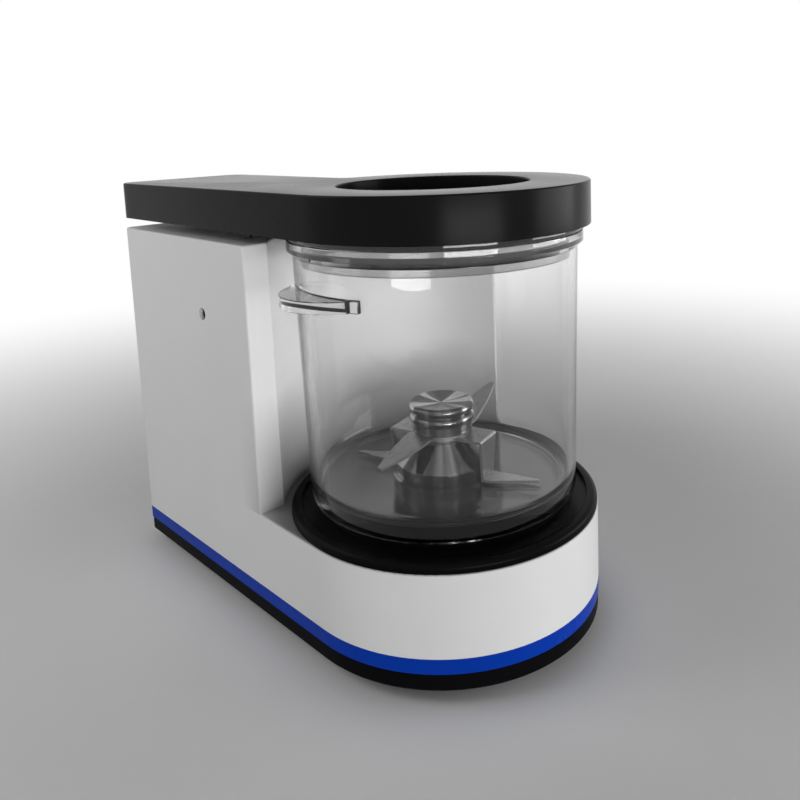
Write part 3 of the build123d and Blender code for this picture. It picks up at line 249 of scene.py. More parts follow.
@dataclass(frozen=True)
class Coating(Finish):
    """Paint or moulded plastic: an even colour with a fine grain and slight mottling."""

    name: str
    code: str  # sRGB hex colour
    roughness: float  # Mean roughness
    grain_mm: float  # Size of the surface's grain
    depth_mm: float  # Depth of that grain
    mottle: float = 0.06  # Share by which broad patches change the colour
    level: float = 0.5  # Specular level
    bloom: float = 0.0  # Sheen that lightens it towards a low view
    painted_seat_shade: float = 0.0  # Share by which painted shade round the bowl's seat darkens it

    def paint(self, nodes: Nodes, place: Source) -> None:
        """Paint the broad patches, the painted shade round the seat and the grain.

        Args:
            nodes: Nodes of the material.
            place: Object coordinates.
        """
        broad = nodes.add(
            "TexNoise",
            values={"Scale": 1000 / PATCH_MM, "Detail": 4.0, "Roughness": 0.55},
            links={"Vector": place},
        )
        base = linear(self.code)
        colour = nodes.add(
            "ValToRGB",
            links={0: broad},
            stops=[(0.3, shade(base, 1 - self.mottle)), (0.7, shade(base, 1 + self.mottle))],
        )
        rough = nodes.add(
            "ValToRGB",
            links={0: broad},
            stops=[(0.3, grey(self.roughness * 0.9)), (0.7, grey(self.roughness * 1.12))],
        )
        fine = nodes.add(
            "TexNoise",
            values={"Scale": 1000 / self.grain_mm, "Detail": 2.0},
            links={"Vector": place},
        )
        bump = nodes.add(
            "Bump", values={"Strength": 0.6, "Distance": self.depth_mm * MM}, links={"Height": fine}
        )
        # Painted shade: the colour darkens round the bowl's seat, on the deck and low on the recess
        # wall
        if self.painted_seat_shade:
            colour = self.with_painted_shade(nodes, place, colour)
        nodes.finish(
            {"Specular IOR Level": self.level, "Sheen Weight": self.bloom, "Sheen Roughness": 0.2},
            {"Base Color": colour, "Roughness": rough, "Normal": bump},
        )

    def with_painted_shade(self, nodes: Nodes, place: Source, colour: Source) -> Source:
        """Darken the colour near the bowl's seat with painted shade.

        The painted shade falls off with the distance from the bowl's axis and with the height
        above the deck: 1 - shade share x outward share x upward share.

        Args:
            nodes: Nodes of the material.
            place: Object coordinates.
            colour: The colour without painted shade.

        Returns:
            The colour with painted shade.
        """
        outward, height = nodes.from_axis(place)
        away = nodes.add("VectorMath", {"operation": "LENGTH"}, links={0: outward})
        ends = {"From Min": PAINTED_SHADE_INNER_MM * MM, "From Max": PAINTED_SHADE_OUTER_MM * MM}
        spread = nodes.add(
            "MapRange",
            {"interpolation_type": "SMOOTHSTEP"},
            values={**ends, "To Min": self.painted_seat_shade, "To Max": 0.0},
            links={0: away.outputs["Value"]},
        )
        level = nodes.add(
            "MapRange",
            values={"From Min": PAINTED_SHADE_LOW_MM * MM, "From Max": PAINTED_SHADE_HIGH_MM * MM},
            links={0: height},
        )
        # No painted shade below the deck, all of it on the deck, and less and less up the wall
        upward = nodes.add(
            "ValToRGB",
            links={0: level},
            stops=[(0.05, grey(0.0)), (0.06, grey(1.0)), (0.35, grey(0.6)), (0.9, grey(0.0))],
        )
        share = nodes.add("Math", {"operation": "MULTIPLY"}, links={0: spread, 1: upward})
        left = nodes.add("Math", {"operation": "SUBTRACT"}, values={0: 1.0}, links={1: share})
        return nodes.add("VectorMath", {"operation": "SCALE"}, links={0: colour, "Scale": left})


@dataclass(frozen=True)
class Metal(Finish):
    """Worked metal, with rings, lines or pits from the way it was made."""

    name: str
    code: str  # sRGB hex colour
    roughness: float  # Mean roughness
    grain: Grain  # Direction of the working marks
    pitch_mm: float  # Spacing of the marks
    depth_mm: float  # Depth of the marks
    contrast: float = 0.12  # Share by which the marks change the colour
    streak: float = 0.0  # Share by which reflections are drawn out across turned marks

    def paint(self, nodes: Nodes, place: Source) -> None:
        """Paint the working marks and, on turned steel, its painted reflections in sectors.

        Args:
            nodes: Nodes of the material.
            place: Object coordinates.
        """
        marks = nodes.add(
            "TexNoise",
            values={"Scale": 1000 / self.pitch_mm, "Detail": 3.0, "Roughness": 0.6},
            links={"Vector": self.across(nodes, place)},
        )
        base = linear(self.code)
        colour = nodes.add(
            "ValToRGB",
            links={0: marks},
            stops=[(0.25, shade(base, 1 - self.contrast)), (0.75, shade(base, 1 + self.contrast))],
        )
        # Painted reflections: light and dark sectors round the axis of turned steel
        if self.grain is Grain.TURNED:
            colour = self.painted_reflections(nodes, place, colour)
        rough = nodes.add(
            "ValToRGB",
            links={0: marks},
            stops=[(0.2, grey(self.roughness * 0.75)), (0.8, grey(self.roughness * 1.3))],
        )
        bump = nodes.add(
            "Bump",
            values={"Strength": 0.5, "Distance": self.depth_mm * MM},
            links={"Height": marks},
        )
        nodes.finish(
            {"Metallic": 1.0, "Anisotropic": self.streak},
            {"Base Color": colour, "Roughness": rough, "Normal": bump},
        )

    def painted_reflections(self, nodes: Nodes, place: Source, colour: Source) -> Source:
        """Painted reflections: light and dark sectors of a turned polish, from noise read at the way
        out from the axis.

        Args:
            nodes: Nodes of the material.
            place: Object coordinates.
            colour: The colour so far.

        Returns:
            The colour with its painted reflection sectors.
        """
        outward, _ = nodes.from_axis(place)
        way = nodes.add("VectorMath", {"operation": "NORMALIZE"}, links={0: outward})
        patches = nodes.add(
            "TexNoise",
            values={"Scale": 1.7, "Detail": 2.0, "Roughness": 0.5},
            links={"Vector": way},
        )
        shares = nodes.add(
            "ValToRGB",
            links={0: patches},
            stops=[(0.42, grey(0.1)), (0.49, grey(0.3)), (0.56, grey(1.0))],
        )
        return nodes.add("VectorMath", {"operation": "MULTIPLY"}, links={0: colour, 1: shares})

    def across(self, nodes: Nodes, place: Source) -> Source:
        """Vector whose noise gives the working marks.

        Turned marks read (distance from the axis, height), so they run in rings, and
        the shader's tangent runs with them: upward crossed with the way out from the
        axis. Ground marks squeeze one direction to long lines. Cast marks are plain.

        Args:
            nodes: Nodes of the material.
            place: Object coordinates.

        Returns:
            The vector to read noise at.
        """
        if self.grain is Grain.CAST:
            return place
        if self.grain is Grain.GROUND:
            # Lines 25 times as long as they are wide, at 20 degrees to the piece
            lines = {"Scale": (0.04, 1.0, 1.0), "Rotation": (0.0, 0.0, math.radians(20))}
            return nodes.add("Mapping", values=lines, links={"Vector": place})
        outward, height = nodes.from_axis(place)
        round_axis = nodes.add(
            "VectorMath",
            {"operation": "CROSS_PRODUCT"},
            values={0: (0.0, 0.0, 1.0)},
            links={1: outward},
        )
        tangent = nodes.add(
            "VectorTransform",
            {"vector_type": "VECTOR", "convert_from": "OBJECT", "convert_to": "WORLD"},
            links={0: round_axis},
        )
        nodes.finish({}, {"Tangent": tangent})
        away = nodes.add("VectorMath", {"operation": "LENGTH"}, links={0: outward})
        return nodes.add("CombineXYZ", links={"X": away.outputs["Value"], "Z": height})


@dataclass(frozen=True)
class ClearAcrylic(Finish):
    """Cast clear acrylic: bright, slightly grey, with fine upright scratches."""

    name: str
    code: str  # sRGB hex tint
    roughness: float  # Roughness between the scratches
    shadow: float = 0.1  # Share of a lamp's light that it stops
    level: float = 0.5  # Specular level
    density: float = 11.0  # Absorption in each metre of thickness, which darkens rims and floor
    scratch_mm: float = 1.6  # Width of a scratch, drawn coarse enough to show
    haze: float = 0.03  # Roughness that a scratch adds
    wave_mm: float = 22.22  # Width of the wall's slight waves
    wave_depth_mm: float = 0.2  # Depth of those waves

    def paint(self, nodes: Nodes, place: Source) -> None:
        """Paint the scratches and waves, and dim what passes through.

        Args:
            nodes: Nodes of the material.
            place: Object coordinates.
        """
        drawn = nodes.add("Mapping", values={"Scale": (1.0, 1.0, 0.06)}, links={"Vector": place})
        scratches = nodes.add(
            "TexNoise",
            values={"Scale": 1000 / self.scratch_mm, "Detail": 5.0, "Roughness": 0.7},
            links={"Vector": drawn},
        )
        rough = nodes.add(
            "ValToRGB",
            links={0: scratches},
            stops=[(0.55, grey(self.roughness)), (0.75, grey(self.roughness + self.haze))],
        )
        wave = nodes.add(
            "TexNoise",
            values={"Scale": 1000 / self.wave_mm, "Detail": 1.0},
            links={"Vector": drawn},
        )
        bump = nodes.add(
            "Bump",
            values={"Strength": 0.15, "Distance": self.wave_depth_mm * MM},
            links={"Height": wave},
        )
        # A shadow ray meets a thin grey film, so lamps light what is inside
        lets_light = nodes.add(
            "MapRange",
            values={"To Min": 1.0, "To Max": self.shadow},
            links={0: nodes.add("LightPath").outputs["Is Shadow Ray"]},
        )
        murk = nodes.add("VolumeAbsorption", values={"Color": grey(0.0), "Density": self.density})
        colour = {"Base Color": linear(self.code), "Transmission Weight": 1.0}
        nodes.finish(
            {**colour, "IOR": 1.49, "Specular IOR Level": self.level},
            {"Roughness": rough, "Normal": bump, "Alpha": lets_light},
        )
        nodes.fill(nodes.tree.nodes["Material Output"], links={"Volume": murk})


@dataclass(frozen=True)
class CircuitBoard(Finish):
    """Green solder mask with the fine lines of its copper tracks."""

    name: str = "solder_mask_green"
    cell_mm: float = 11.11  # Size of the cells between the tracks

    def paint(self, nodes: Nodes, place: Source) -> None:
        """Paint the mask and the tracks.

        Args:
            nodes: Nodes of the material.
            place: Object coordinates.
        """
        codes = {"Color1": "0E4A24", "Color2": "12602E", "Mortar": "1E7A3E"}
        tracks = nodes.add(
            "TexBrick",
            values={"Scale": 1000 / self.cell_mm} | {key: linear(code) for key, code in codes.items()},
            links={"Vector": place},
        )
        nodes.finish({"Roughness": 0.4}, {"Base Color": tracks})


@dataclass(frozen=True)
class TableTop(Finish):
    """Pale laminate that the object stands on, and that fades to white far away."""

    name: str = "laminate_pale_grey"
    code: str = "F4F4F4"  # sRGB hex colour near the object
    near: float = 0.25  # Distance from which it starts to fade
    far: float = 1.3  # Distance at which it is white to the eye
    cloud_mm: float = 333.3  # Size of the slight clouds in its colour

    def paint(self, nodes: Nodes, place: Source) -> None:
        """Paint the clouds and the fade.

        Args:
            nodes: Nodes of the material.
            place: Object coordinates.
        """
        cloud = nodes.add(
            "TexNoise",
            values={"Scale": 1000 / self.cloud_mm, "Detail": 3.0},
            links={"Vector": place},
        )
        base = linear(self.code)
        colour = nodes.add(
            "ValToRGB", links={0: cloud}, stops=[(0.3, shade(base, 0.97)), (0.7, shade(base, 1.03))]
        )
        nodes.finish({"Roughness": 0.7}, {"Base Color": colour})
        away = nodes.add("VectorMath", {"operation": "LENGTH"}, links={0: place})
        fade = nodes.add(
            "MapRange",
            {"interpolation_type": "SMOOTHSTEP"},
            values={"From Min": self.near, "From Max": self.far},
            links={0: away.outputs["Value"]},
        )
        share = nodes.add("Math", {"operation": "MULTIPLY"}, links={0: fade, 1: nodes.looked_at()})
        white = nodes.add("Emission", values={"Color": grey(1.0), "Strength": 1.0})
        shader = nodes.tree.nodes["Principled BSDF"]
        blend = nodes.add("MixShader", links={0: share, 1: shader, 2: white})
        nodes.fill(nodes.tree.nodes["Material Output"], links={"Surface": blend})


# Powder coat: dull white, with a fine orange peel and painted shade round the seat
WHITE_PAINT = Coating("powder_coat_white", "E4E4E4", 0.42, 1.1, 0.015, 0.015, 0.4, painted_seat_shade=0.8)
# Satin paint: soft black that greys where the eye looks along it
ARM_COAT = Coating("satin_coat_black", "111111", 0.25, 0.5, 0.004, 0.1, 0.05, bloom=0.25)
# Moulded ABS: flat black, so the skirt reads as one dark line
SKIRT_PLASTIC = Coating("moulded_abs_black", "0A0A0C", 0.42, 0.5, 0.006, 0.12, 0.03)
# Turned acetal: deep black with a soft sheen on the rounded rim
SEAT_PLASTIC = Coating("turned_acetal_black", "0A0A0B", 0.3, 0.5, 0.002, 0.12, 0.03)
# Gloss film: smooth, strong blue
BLUE_BAND = Coating("gloss_film_blue", "0038AA", 0.25, 1.5, 0.002, 0.04, 0.07)
# Moulded polyamide: black with a grain that scatters light
BLACK_PLASTIC = Coating("moulded_pa_black", "101011", 0.5, 0.6, 0.02, 0.1)
# Rubber: dull black with no clear highlight
SOFT_RUBBER = Coating("moulded_rubber_black", "111111", 0.75, 0.9, 0.04, 0.15, 0.2)
# Stove enamel on the motor: dark grey, half gloss
MOTOR_PAINT = Coating("motor_enamel_grey", "3A3D40", 0.5, 1.0, 0.03, 0.08)
# Stainless steel off the lathe: fine rings that draw reflections out across them, with painted
# reflections in bright and dark sectors
TURNED_STEEL = Metal("stainless_turned", "D2D2D2", 0.14, Grain.TURNED, 0.9, 0.002, 0.08, 0.75)
# Ground stainless strip: greyer than the turned steel, with fine lines
BLADE_STEEL = Metal("stainless_ground_blade", "9C9C9C", 0.3, Grain.GROUND, 0.6, 0.008, 0.1)
# Ground steel of the shafts and bearings: even and fairly bright
GROUND_STEEL = Metal("steel_ground", "A5A5A6", 0.25, Grain.GROUND, 0.6, 0.008, 0.08)
# Zinc plate: cool, slightly dull screws
ZINC = Metal("steel_zinc_plated", "B4B8BC", 0.35, Grain.CAST, 0.9, 0.006, 0.1)
# Die-cast aluminium: dull grey with fine pits
CAST_ALUMINIUM = Metal("aluminium_die_cast", "A9ABAD", 0.5, Grain.CAST, 1.2, 0.03, 0.08)
# Sintered bronze: warm and dull, with pores
BRONZE = Metal("bronze_sintered", "A8804A", 0.45, Grain.CAST, 0.5, 0.02, 0.12)
# Cast acrylic of the bowl: clear, with dark rims where the eye looks through its length
CLEAR_BOWL = ClearAcrylic("acrylic_cast_clear", "F8F8F8", 0.015, 0.1, 0.15)
# The lid's acrylic: scuffed, so it is duller and greyer
CLEAR_LID = ClearAcrylic("acrylic_cast_lid", "B0B0B0", 0.04, 0.3, 0.3)
BOARD = CircuitBoard()
TABLE_TOP = TableTop()

NODES_OF = {
    WHITE_PAINT: ("housing_shell", "rear_cover"),
    SKIRT_PLASTIC: ("base_tray",),
    BLUE_BAND: ("stripe_band",),
    SEAT_PLASTIC: ("bowl_seat",),
    ARM_COAT: ("arm_shell", "arm_underplate"),
    CLEAR_BOWL: ("bowl",),
    CLEAR_LID: ("lid",),
    TURNED_STEEL: ("bowl_bush", "cutter_hub", "knob_washer", "cutter_knob"),
    BLADE_STEEL: ("floor_blades", "cross_blades"),
    BLACK_PLASTIC: (
        "power_inlet", "switch_frame", "switch_rocker", "motor_cap", "interlock_switch",
        "interlock_plunger",
    ),
    SOFT_RUBBER: ("rubber_feet", "shaft_seal", "drive_belt", "lid_seal"),
    MOTOR_PAINT: ("motor_can",),
    GROUND_STEEL: (
        "upper_bearing", "lower_bearing", "drive_spindle", "motor_rotor", "arm_post",
        "post_collar", "interlock_bracket",
    ),
    CAST_ALUMINIUM: (
        "spindle_housing", "driven_pulley", "motor_pulley", "motor_bracket", "run_capacitor",
        "post_guide",
    ),
    BRONZE: ("motor_bearings", "board_posts", "arm_bush", "post_bushes"),
    ZINC: (
        "foot_screws", "rear_cover_screws", "flange_screws", "pulley_nut", "motor_leg_screws",
        "motor_bolts", "arm_screws", "guide_screws", "lock_screw",
    ),
    BOARD: ("control_board",),
}


class Workshop:
    """Keeps one Blender material for each finish."""

    def __init__(self) -> None:
        """Start with no materials made."""
        self.made: dict[str, bpy.types.Material] = {}

    def material(self, finish: Finish) -> bpy.types.Material:
        """Give the material of a finish, made once.

        Args:
            finish: One of the finishes above.

        Returns:
            Its material.
        """
        if finish.name not in self.made:
            self.made[finish.name] = finish.build()
        return self.made[finish.name]

    def dress(self, piece: Piece, finish: Finish) -> None:
        """Give a piece one finish all over.

        Args:
            piece: Mesh object.
            finish: One of the finishes above.
        """
        material = self.material(finish)
        if not piece.data.materials:
            piece.data.materials.append(material)
        for slot in piece.material_slots:
            slot.material = material

    def complete(self, piece: Piece, finish: Finish, body: str, node: str) -> None:
        """Tie a new piece to the frame and dress it.

        Args:
            piece: The new piece.
            finish: Its finish.
            body: Body that it rides on.
            node: CAD node that it replaces.
        """
        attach(piece, body)
        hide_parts(node)
        self.dress(piece, finish)


# Surfaces worked out on grids


def rounded(*corners: Corner, steps: int) -> np.ndarray:
    """Closed outline with its corners rounded.

    Each corner is (a, b, radius). A rounded corner becomes an arc that touches both
    of its sides: the arc's ends lie radius / tan(half the corner's angle) along them,
    and its centre lies on the line that halves the corner.

    Args:
        corners: Corner points with their radii, in order.
        steps: Parts of each arc.

    Returns:
        Points of the outline, one row each.
    """
    points = np.array(corners, float)
    rows = []
    for index, (_, _, radius) in enumerate(corners):
        here = points[index, :2]
        before = points[index - 1, :2] - here
        after = points[(index + 1) % len(corners), :2] - here
        before = before / np.linalg.norm(before)
        after = after / np.linalg.norm(after)
        half = math.acos(float(np.clip(before @ after, -1, 1))) / 2
        if radius <= 0 or half > math.pi / 2 - 1e-3:
            rows.append(here[None, :])
            continue
        middle = before + after
        middle = middle / np.linalg.norm(middle)
        centre = here + middle * radius / math.sin(half)
        start = here + before * radius / math.tan(half) - centre
        end = here + after * radius / math.tan(half) - centre
        sweep = math.pi - 2 * half
        share = np.linspace(0, 1, steps + 1)[:, None]
        arc = (np.sin((1 - share) * sweep) * start + np.sin(share * sweep) * end) / math.sin(sweep)
        rows.append(centre + arc)
    return np.vstack(rows)


def bow(centre: Sequence[float], radius: float, turn: np.ndarray) -> np.ndarray:
    """Points of a circle arc: centre + radius x (cos t, sin t) at each angle t."""
    return np.column_stack([np.cos(turn), np.sin(turn)]) * radius + np.array(centre)


def between(start: Sequence[float], end: Sequence[float], count: int) -> np.ndarray:
    """Evenly spaced points of a straight side, without its two ends."""
    share = np.linspace(0, 1, count + 2)[1:-1, None]
    return np.array(start) * (1 - share) + np.array(end) * share


def ring_faces(rows: int, columns: int, closed_rows: bool) -> np.ndarray:
    """Quads of a grid whose columns join round into rings.

    Args:
        rows: Number of rings.
        columns: Points in each ring.
        closed_rows: Whether the last ring joins the first.

    Returns:
        Four point numbers for each face.
    """
    last = rows if closed_rows else rows - 1
    i, j = np.meshgrid(np.arange(last), np.arange(columns), indexing="ij")
    below, above = i * columns, ((i + 1) % rows) * columns
    right = (j + 1) % columns
    quads = np.stack([below + j, below + right, above + right, above + j], axis=-1)
    return quads.reshape(-1, 4)


def make_piece(name: str, points: np.ndarray, faces: Iterable[Sequence[int]]) -> Piece:
    """Put points and faces into a new object, with its doubles merged and faces outward.

    Args:
        name: Name of the piece.
        points: Places in metres, one row each.
        faces: Point numbers of each face.

    Returns:
        The object, at the origin.
    """
    mesh = bpy.data.meshes.new(name)
    mesh.from_pydata(points.tolist(), [], [list(map(int, face)) for face in faces])
    work = bmesh.new()
    work.from_mesh(mesh)
    bmesh.ops.remove_doubles(work, verts=work.verts, dist=1e-6)
    bmesh.ops.recalc_face_normals(work, faces=work.faces)
    work.to_mesh(mesh)
    work.free()
    mesh.shade_smooth()
    mesh.set_sharp_from_angle(angle=SMOOTH_ANGLE)
    piece = bpy.data.objects.new(name, mesh)
    bpy.context.scene.collection.objects.link(piece)
    return piece


def turned(name: str, profile: np.ndarray, columns: int = 192) -> Piece:
    """Turn a closed profile about the bowl's axis.

    The surface is (r cos t, r sin t, z) for each profile point (r, z) and each turn t.

    Args:
        name: Name of the piece.
        profile: Radius and height in millimetres, one row for each point.
        columns: Steps round the axis.

    Returns:
        The piece.
    """
    turn = np.linspace(0, 2 * math.pi, columns, endpoint=False)
    radius = profile[:, :1] * MM
    x = AXIS[0] + radius * np.cos(turn)
    y = AXIS[1] + radius * np.sin(turn)
    z = np.broadcast_to(profile[:, 1:] * MM, x.shape)
    points = np.stack([x, y, z], axis=-1).reshape(-1, 3)
    return make_piece(name, points, ring_faces(len(profile), columns, True))


def layered(name: str, rows: Sequence[tuple[np.ndarray, float]], ring: bool = True) -> Piece:
    """Join level outlines with equal point counts into one closed surface.

    Args:
        name: Name of the piece.
        rows: Outline in millimetres from the bowl's axis, and its height in millimetres.
        ring: Whether the last row joins the first. Otherwise a flat face closes each end.

    Returns:
        The piece.
    """
    columns = len(rows[0][0])
    levels = [np.column_stack([plan * MM + AXIS, np.full(columns, z * MM)]) for plan, z in rows]
    faces = ring_faces(len(rows), columns, ring).tolist()
    if not ring:
        last = (len(rows) - 1) * columns
        faces += [list(range(columns)), list(range(last, last + columns))]
    return make_piece(name, np.vstack(levels), faces)


# Sub-assemblies


@dataclass
class Bowl:
    """Clear bowl with its ear."""

    bottom: float = low_of("bowl")  # Height of the underside
    rim: float = high_of("bowl")  # Height of the rim
    radius: float = 100.0  # Outside radius at the rim
    taper: float = 4.0  # How much smaller the outside radius is at the bottom
    wall: float = 4.5  # Wall thickness
    floor: float = 9.0  # Floor thickness
    bush: float = 15.8  # Radius of the hole for the steel bush
    collar: float = 3.7  # How far the collar stands out
    collar_height: float = 11.0  # Height of the collar
    edge: float = 0.6  # Rounding of the collar's edges
    foot_round: float = 5.0  # Rounding at the foot of the wall
    floor_round: float = 11.0  # Rounding between the floor and the inside of the wall
    ear_top: float = 252.1  # Height of the ear's upper face
    ear_thickness: float = 7.9  # Thickness of the ear
    ear_reach: float = 20.4  # How far the ear's lobe stands out from the wall
    ear_arc: float = 40.0  # Radius of the lobe
    ear_lip: float = 3.7  # How far the lip beside the lobe stands out from the wall
    ear_edge: float = 0.5  # Break of the ear's edges
    ear_start: float = 153.0  # Angle in degrees at which the ear starts
    ear_middle: float = 176.0  # Angle of the lobe's middle
    ear_end: float = 199.5  # Angle at which the ear ends

    def outside(self, height: float) -> float:
        """Outside radius of the tapered wall at a height."""
        return self.radius - self.taper * (self.rim - height) / (self.rim - self.bottom)

    def body(self) -> Piece:
        """Turn the foot, the tapered wall, the collar, the inside wall and the floor.

        Returns:
            The bowl without its ear.
        """
        floor_top = self.bottom + self.floor
        collar_low = self.rim - self.collar_height
        profile = rounded(
            (self.bush, self.bottom, 0.0),
            (self.outside(self.bottom), self.bottom, self.foot_round),
            (self.outside(collar_low), collar_low, self.edge),
            (self.radius + self.collar, collar_low + self.collar, self.edge),
            (self.radius + self.collar, self.rim, self.edge),
            (self.radius - self.wall, self.rim, self.edge),
            (self.outside(floor_top) - self.wall, floor_top, self.floor_round),
            (self.bush, floor_top, 0.0),
            steps=10,
        )
        return turned("clear_bowl", profile, FINE_TURN)

    def ear(self) -> Piece:
        """Crescent ear, carried up through its thickness with its edges broken.

        Its outer edge is the further out of a lobe and a lip. The lobe is a circle with
        its centre at distance c from the bowl's axis, so at an angle t from the ear's
        middle it lies at c cos t + root(arc^2 - c^2 sin^2 t). The lip follows the wall.

        Returns:
            The ear, which starts halfway through the wall.
        """
        side = self.outside(self.ear_top)
        centre = side + self.ear_reach - self.ear_arc
        turn = np.radians(np.linspace(self.ear_start, self.ear_end, 49))
        away = turn - math.radians(self.ear_middle)
        inside = np.clip(self.ear_arc**2 - (centre * np.sin(away)) ** 2, 0, None)
        lobe = centre * np.cos(away) + np.sqrt(inside)
        edge = np.maximum(lobe, side + self.ear_lip)[:, None]
        ray = bow((0, 0), 1, turn)
        under = self.ear_top - self.ear_thickness
        heights = (under, under + self.ear_edge, self.ear_top - self.ear_edge, self.ear_top)
        rows = []
        for inset, height in zip((self.ear_edge, 0, 0, self.ear_edge), heights):
            plan = np.vstack([ray * (edge - inset), ray[::-1] * (side - self.wall / 2)])
            rows.append((plan, height))
        return layered("bowl_ear", rows, ring=False)

    def build(self, shop: Workshop) -> None:
        """Make the bowl with its ear as one clear piece.

        Args:
            shop: Keeper of the materials.
        """
        body, ear = self.body(), self.ear()
        union = body.modifiers.new("ear", "BOOLEAN")
        union.operation = "UNION"
        union.solver = "EXACT"
        union.object = ear
        graph = bpy.context.evaluated_depsgraph_get()
        joined = bpy.data.meshes.new_from_object(body.evaluated_get(graph))
        body.modifiers.clear()
        body.data = joined
        bpy.data.objects.remove(ear)
        joined.set_sharp_from_angle(angle=SMOOTH_ANGLE)
        shop.complete(body, CLEAR_BOWL, "bowl_set", "bowl")


@dataclass
class Lid:
    """Flat clear lid with its plug ring."""

    low: float = low_of("lid")  # Height of the plug's lower end
    top: float = high_of("lid")  # Height of the lid's top
    disc: float = 3.7  # Thickness of the disc
    radius: float = 103.2  # Radius of the disc
    plug_radius: float = 94.84  # Outside radius of the plug
    plug_wall: float = 3.0  # Wall thickness of the plug
    groove_low: float = low_of("lid_seal")  # Height of the seal groove's lower side
    groove_top: float = high_of("lid_seal")  # Height of its upper side
    groove: float = 1.0  # Depth of the groove
    edge: float = 0.8  # Rounding of the disc's top and of the corner inside the plug
    lower_edge: float = 0.4  # Rounding of the disc's lower edge
    plug_edge: float = 0.5  # Rounding of the plug's lower end
    plug_root: float = 0.3  # Rounding between the plug and the disc

    def build(self, shop: Workshop) -> None:
        """Turn the lid: a flat disc with the plug ring and its seal groove below.

        Args:
            shop: Keeper of the materials.
        """
        under = self.top - self.disc
        inner = self.plug_radius - self.plug_wall
        profile = rounded(
            (0.0, under, 0.0),
            (inner, under, self.edge),
            (inner, self.low, self.plug_edge),
            (self.plug_radius, self.low, self.plug_edge),
            (self.plug_radius, self.groove_low, 0.0),
            (self.plug_radius - self.groove, self.groove_low, 0.0),
            (self.plug_radius - self.groove, self.groove_top, 0.0),
            (self.plug_radius, self.groove_top, 0.0),
            (self.plug_radius, under, self.plug_root),
            (self.radius, under, self.lower_edge),
            (self.radius, self.top, self.edge),
            (0.0, self.top, 0.0),
            steps=4,
        )
        piece = turned("clear_lid", profile, FINE_TURN)
        shop.complete(piece, CLEAR_LID, "bowl_set", "lid")


@dataclass
class Cutter:
    """Turned hub, washer and knob of the cutter."""

    bottom: float = low_of("cutter_hub")  # Height of the hub's underside
    top: float = high_of("cutter_hub")  # Height of the hub's top
    foot_radius: float = 34.3  # Radius of the hub's foot
    foot_height: float = 8.7  # Height of the foot
    foot_edge: float = 0.5  # Rounding of the foot's edges
    cone_height: float = 16.1  # Height of the cone above the foot
    cone_top: float = 1.0  # Rounding where the cone meets the neck
    neck_radius: float = 20.2  # Radius of the neck
    bore: float = 8.5  # Radius of the hole for the spindle
    cavity_radius: float = 16.6  # Radius of the hollow below it
    cavity_top: float = 125.0  # Height of that hollow's top
    stud: float = 6.05  # Radius of the hole for the spindle's thread
    washer_low: float = low_of("knob_washer")  # Height of the washer's underside
    washer_top: float = high_of("knob_washer")  # Height of its top
    thin_edge: float = 0.3  # Rounding of the washer and break of the knob's shoulder
    knob_bottom: float = low_of("cutter_knob")  # Height of the knob's underside
    knob_radius: float = 23.8  # Radius over the knob's beads
    knob_neck: float = 5.0  # Height of the plain neck below the beads
    knob_neck_radius: float = 22.0  # Radius of that neck and of the washer
    edge: float = 0.4  # Break of the other edges
    bead: float = 6.2  # Height of a bead
    bead_gap: float = 1.2  # Gap between the beads
    bead_groove: float = 2.4  # How far a bead stands out
    dish: float = 1.6  # Depth of the dished top
    cover: float = 6.0  # Metal above the knob's threaded hole

    def hub(self) -> Piece:
        """Turn the hub with its plain foot, cone and neck.

        Returns:
            The hub.
        """
        foot = self.bottom + self.foot_height
        profile = rounded(
            (self.cavity_radius, self.bottom, 0.0),
            (self.foot_radius, self.bottom, self.foot_edge),
            (self.foot_radius, foot, self.foot_edge),
            (self.neck_radius, foot + self.cone_height, self.cone_top),
            (self.neck_radius, self.top, self.edge),
            (self.bore, self.top, 0.0),
            (self.bore, self.cavity_top, 0.0),
            (self.cavity_radius, self.cavity_top, 0.0),
            steps=5,
        )
        return turned("cutter_hub_turned", profile)

    def washer(self) -> Piece:
        """Turn the washer between the blades and the knob.

        Returns:
            The washer.
        """
        profile = rounded(
            (self.stud, self.washer_low, 0.0),
            (self.knob_neck_radius, self.washer_low, self.thin_edge),
            (self.knob_neck_radius, self.washer_top, self.thin_edge),
            (self.stud, self.washer_top, 0.0),
            steps=3,
        )
        return turned("cutter_washer_turned", profile)

    def knob(self) -> Piece:
        """Turn the knob: half ellipses for the beads, and a parabola for the dish.

        Returns:
            The knob.
        """
        waist = self.knob_radius - self.bead_groove
        neck = self.knob_bottom + self.knob_neck
        second = neck + self.bead + self.bead_gap
        top = second + self.bead
        turn = np.linspace(0, math.pi, 15)
        swell = np.column_stack(
            [np.sin(turn) * self.bead_groove, (1 - np.cos(turn)) / 2 * self.bead]
        )
        share = np.linspace(0, 1, 13)[1:]
        dish = np.column_stack([waist * (1 - share), top - self.dish * (1 - (1 - share) ** 2)])
        profile = np.vstack(
            [
                (0.0, top - self.cover),
                (self.stud, top - self.cover),
                (self.stud, self.knob_bottom),
                (self.knob_neck_radius - self.edge, self.knob_bottom),
                (self.knob_neck_radius, self.knob_bottom + self.edge),
                (self.knob_neck_radius, neck - self.thin_edge),
                (self.knob_neck_radius - self.thin_edge, neck),
                swell + [waist, neck],
                swell + [waist, second],
                dish,
            ]
        )
        return turned("cutter_knob_turned", profile)

    def build(self, shop: Workshop) -> None:
        """Make and dress the turned pieces.

        Args:
            shop: Keeper of the materials.
        """
        for piece, body, node in (
            (self.hub(), "cutter", "cutter_hub"),
            (self.washer(), "cutter", "knob_washer"),
            (self.knob(), "knob", "cutter_knob"),
        ):
            shop.complete(piece, TURNED_STEEL, body, node)


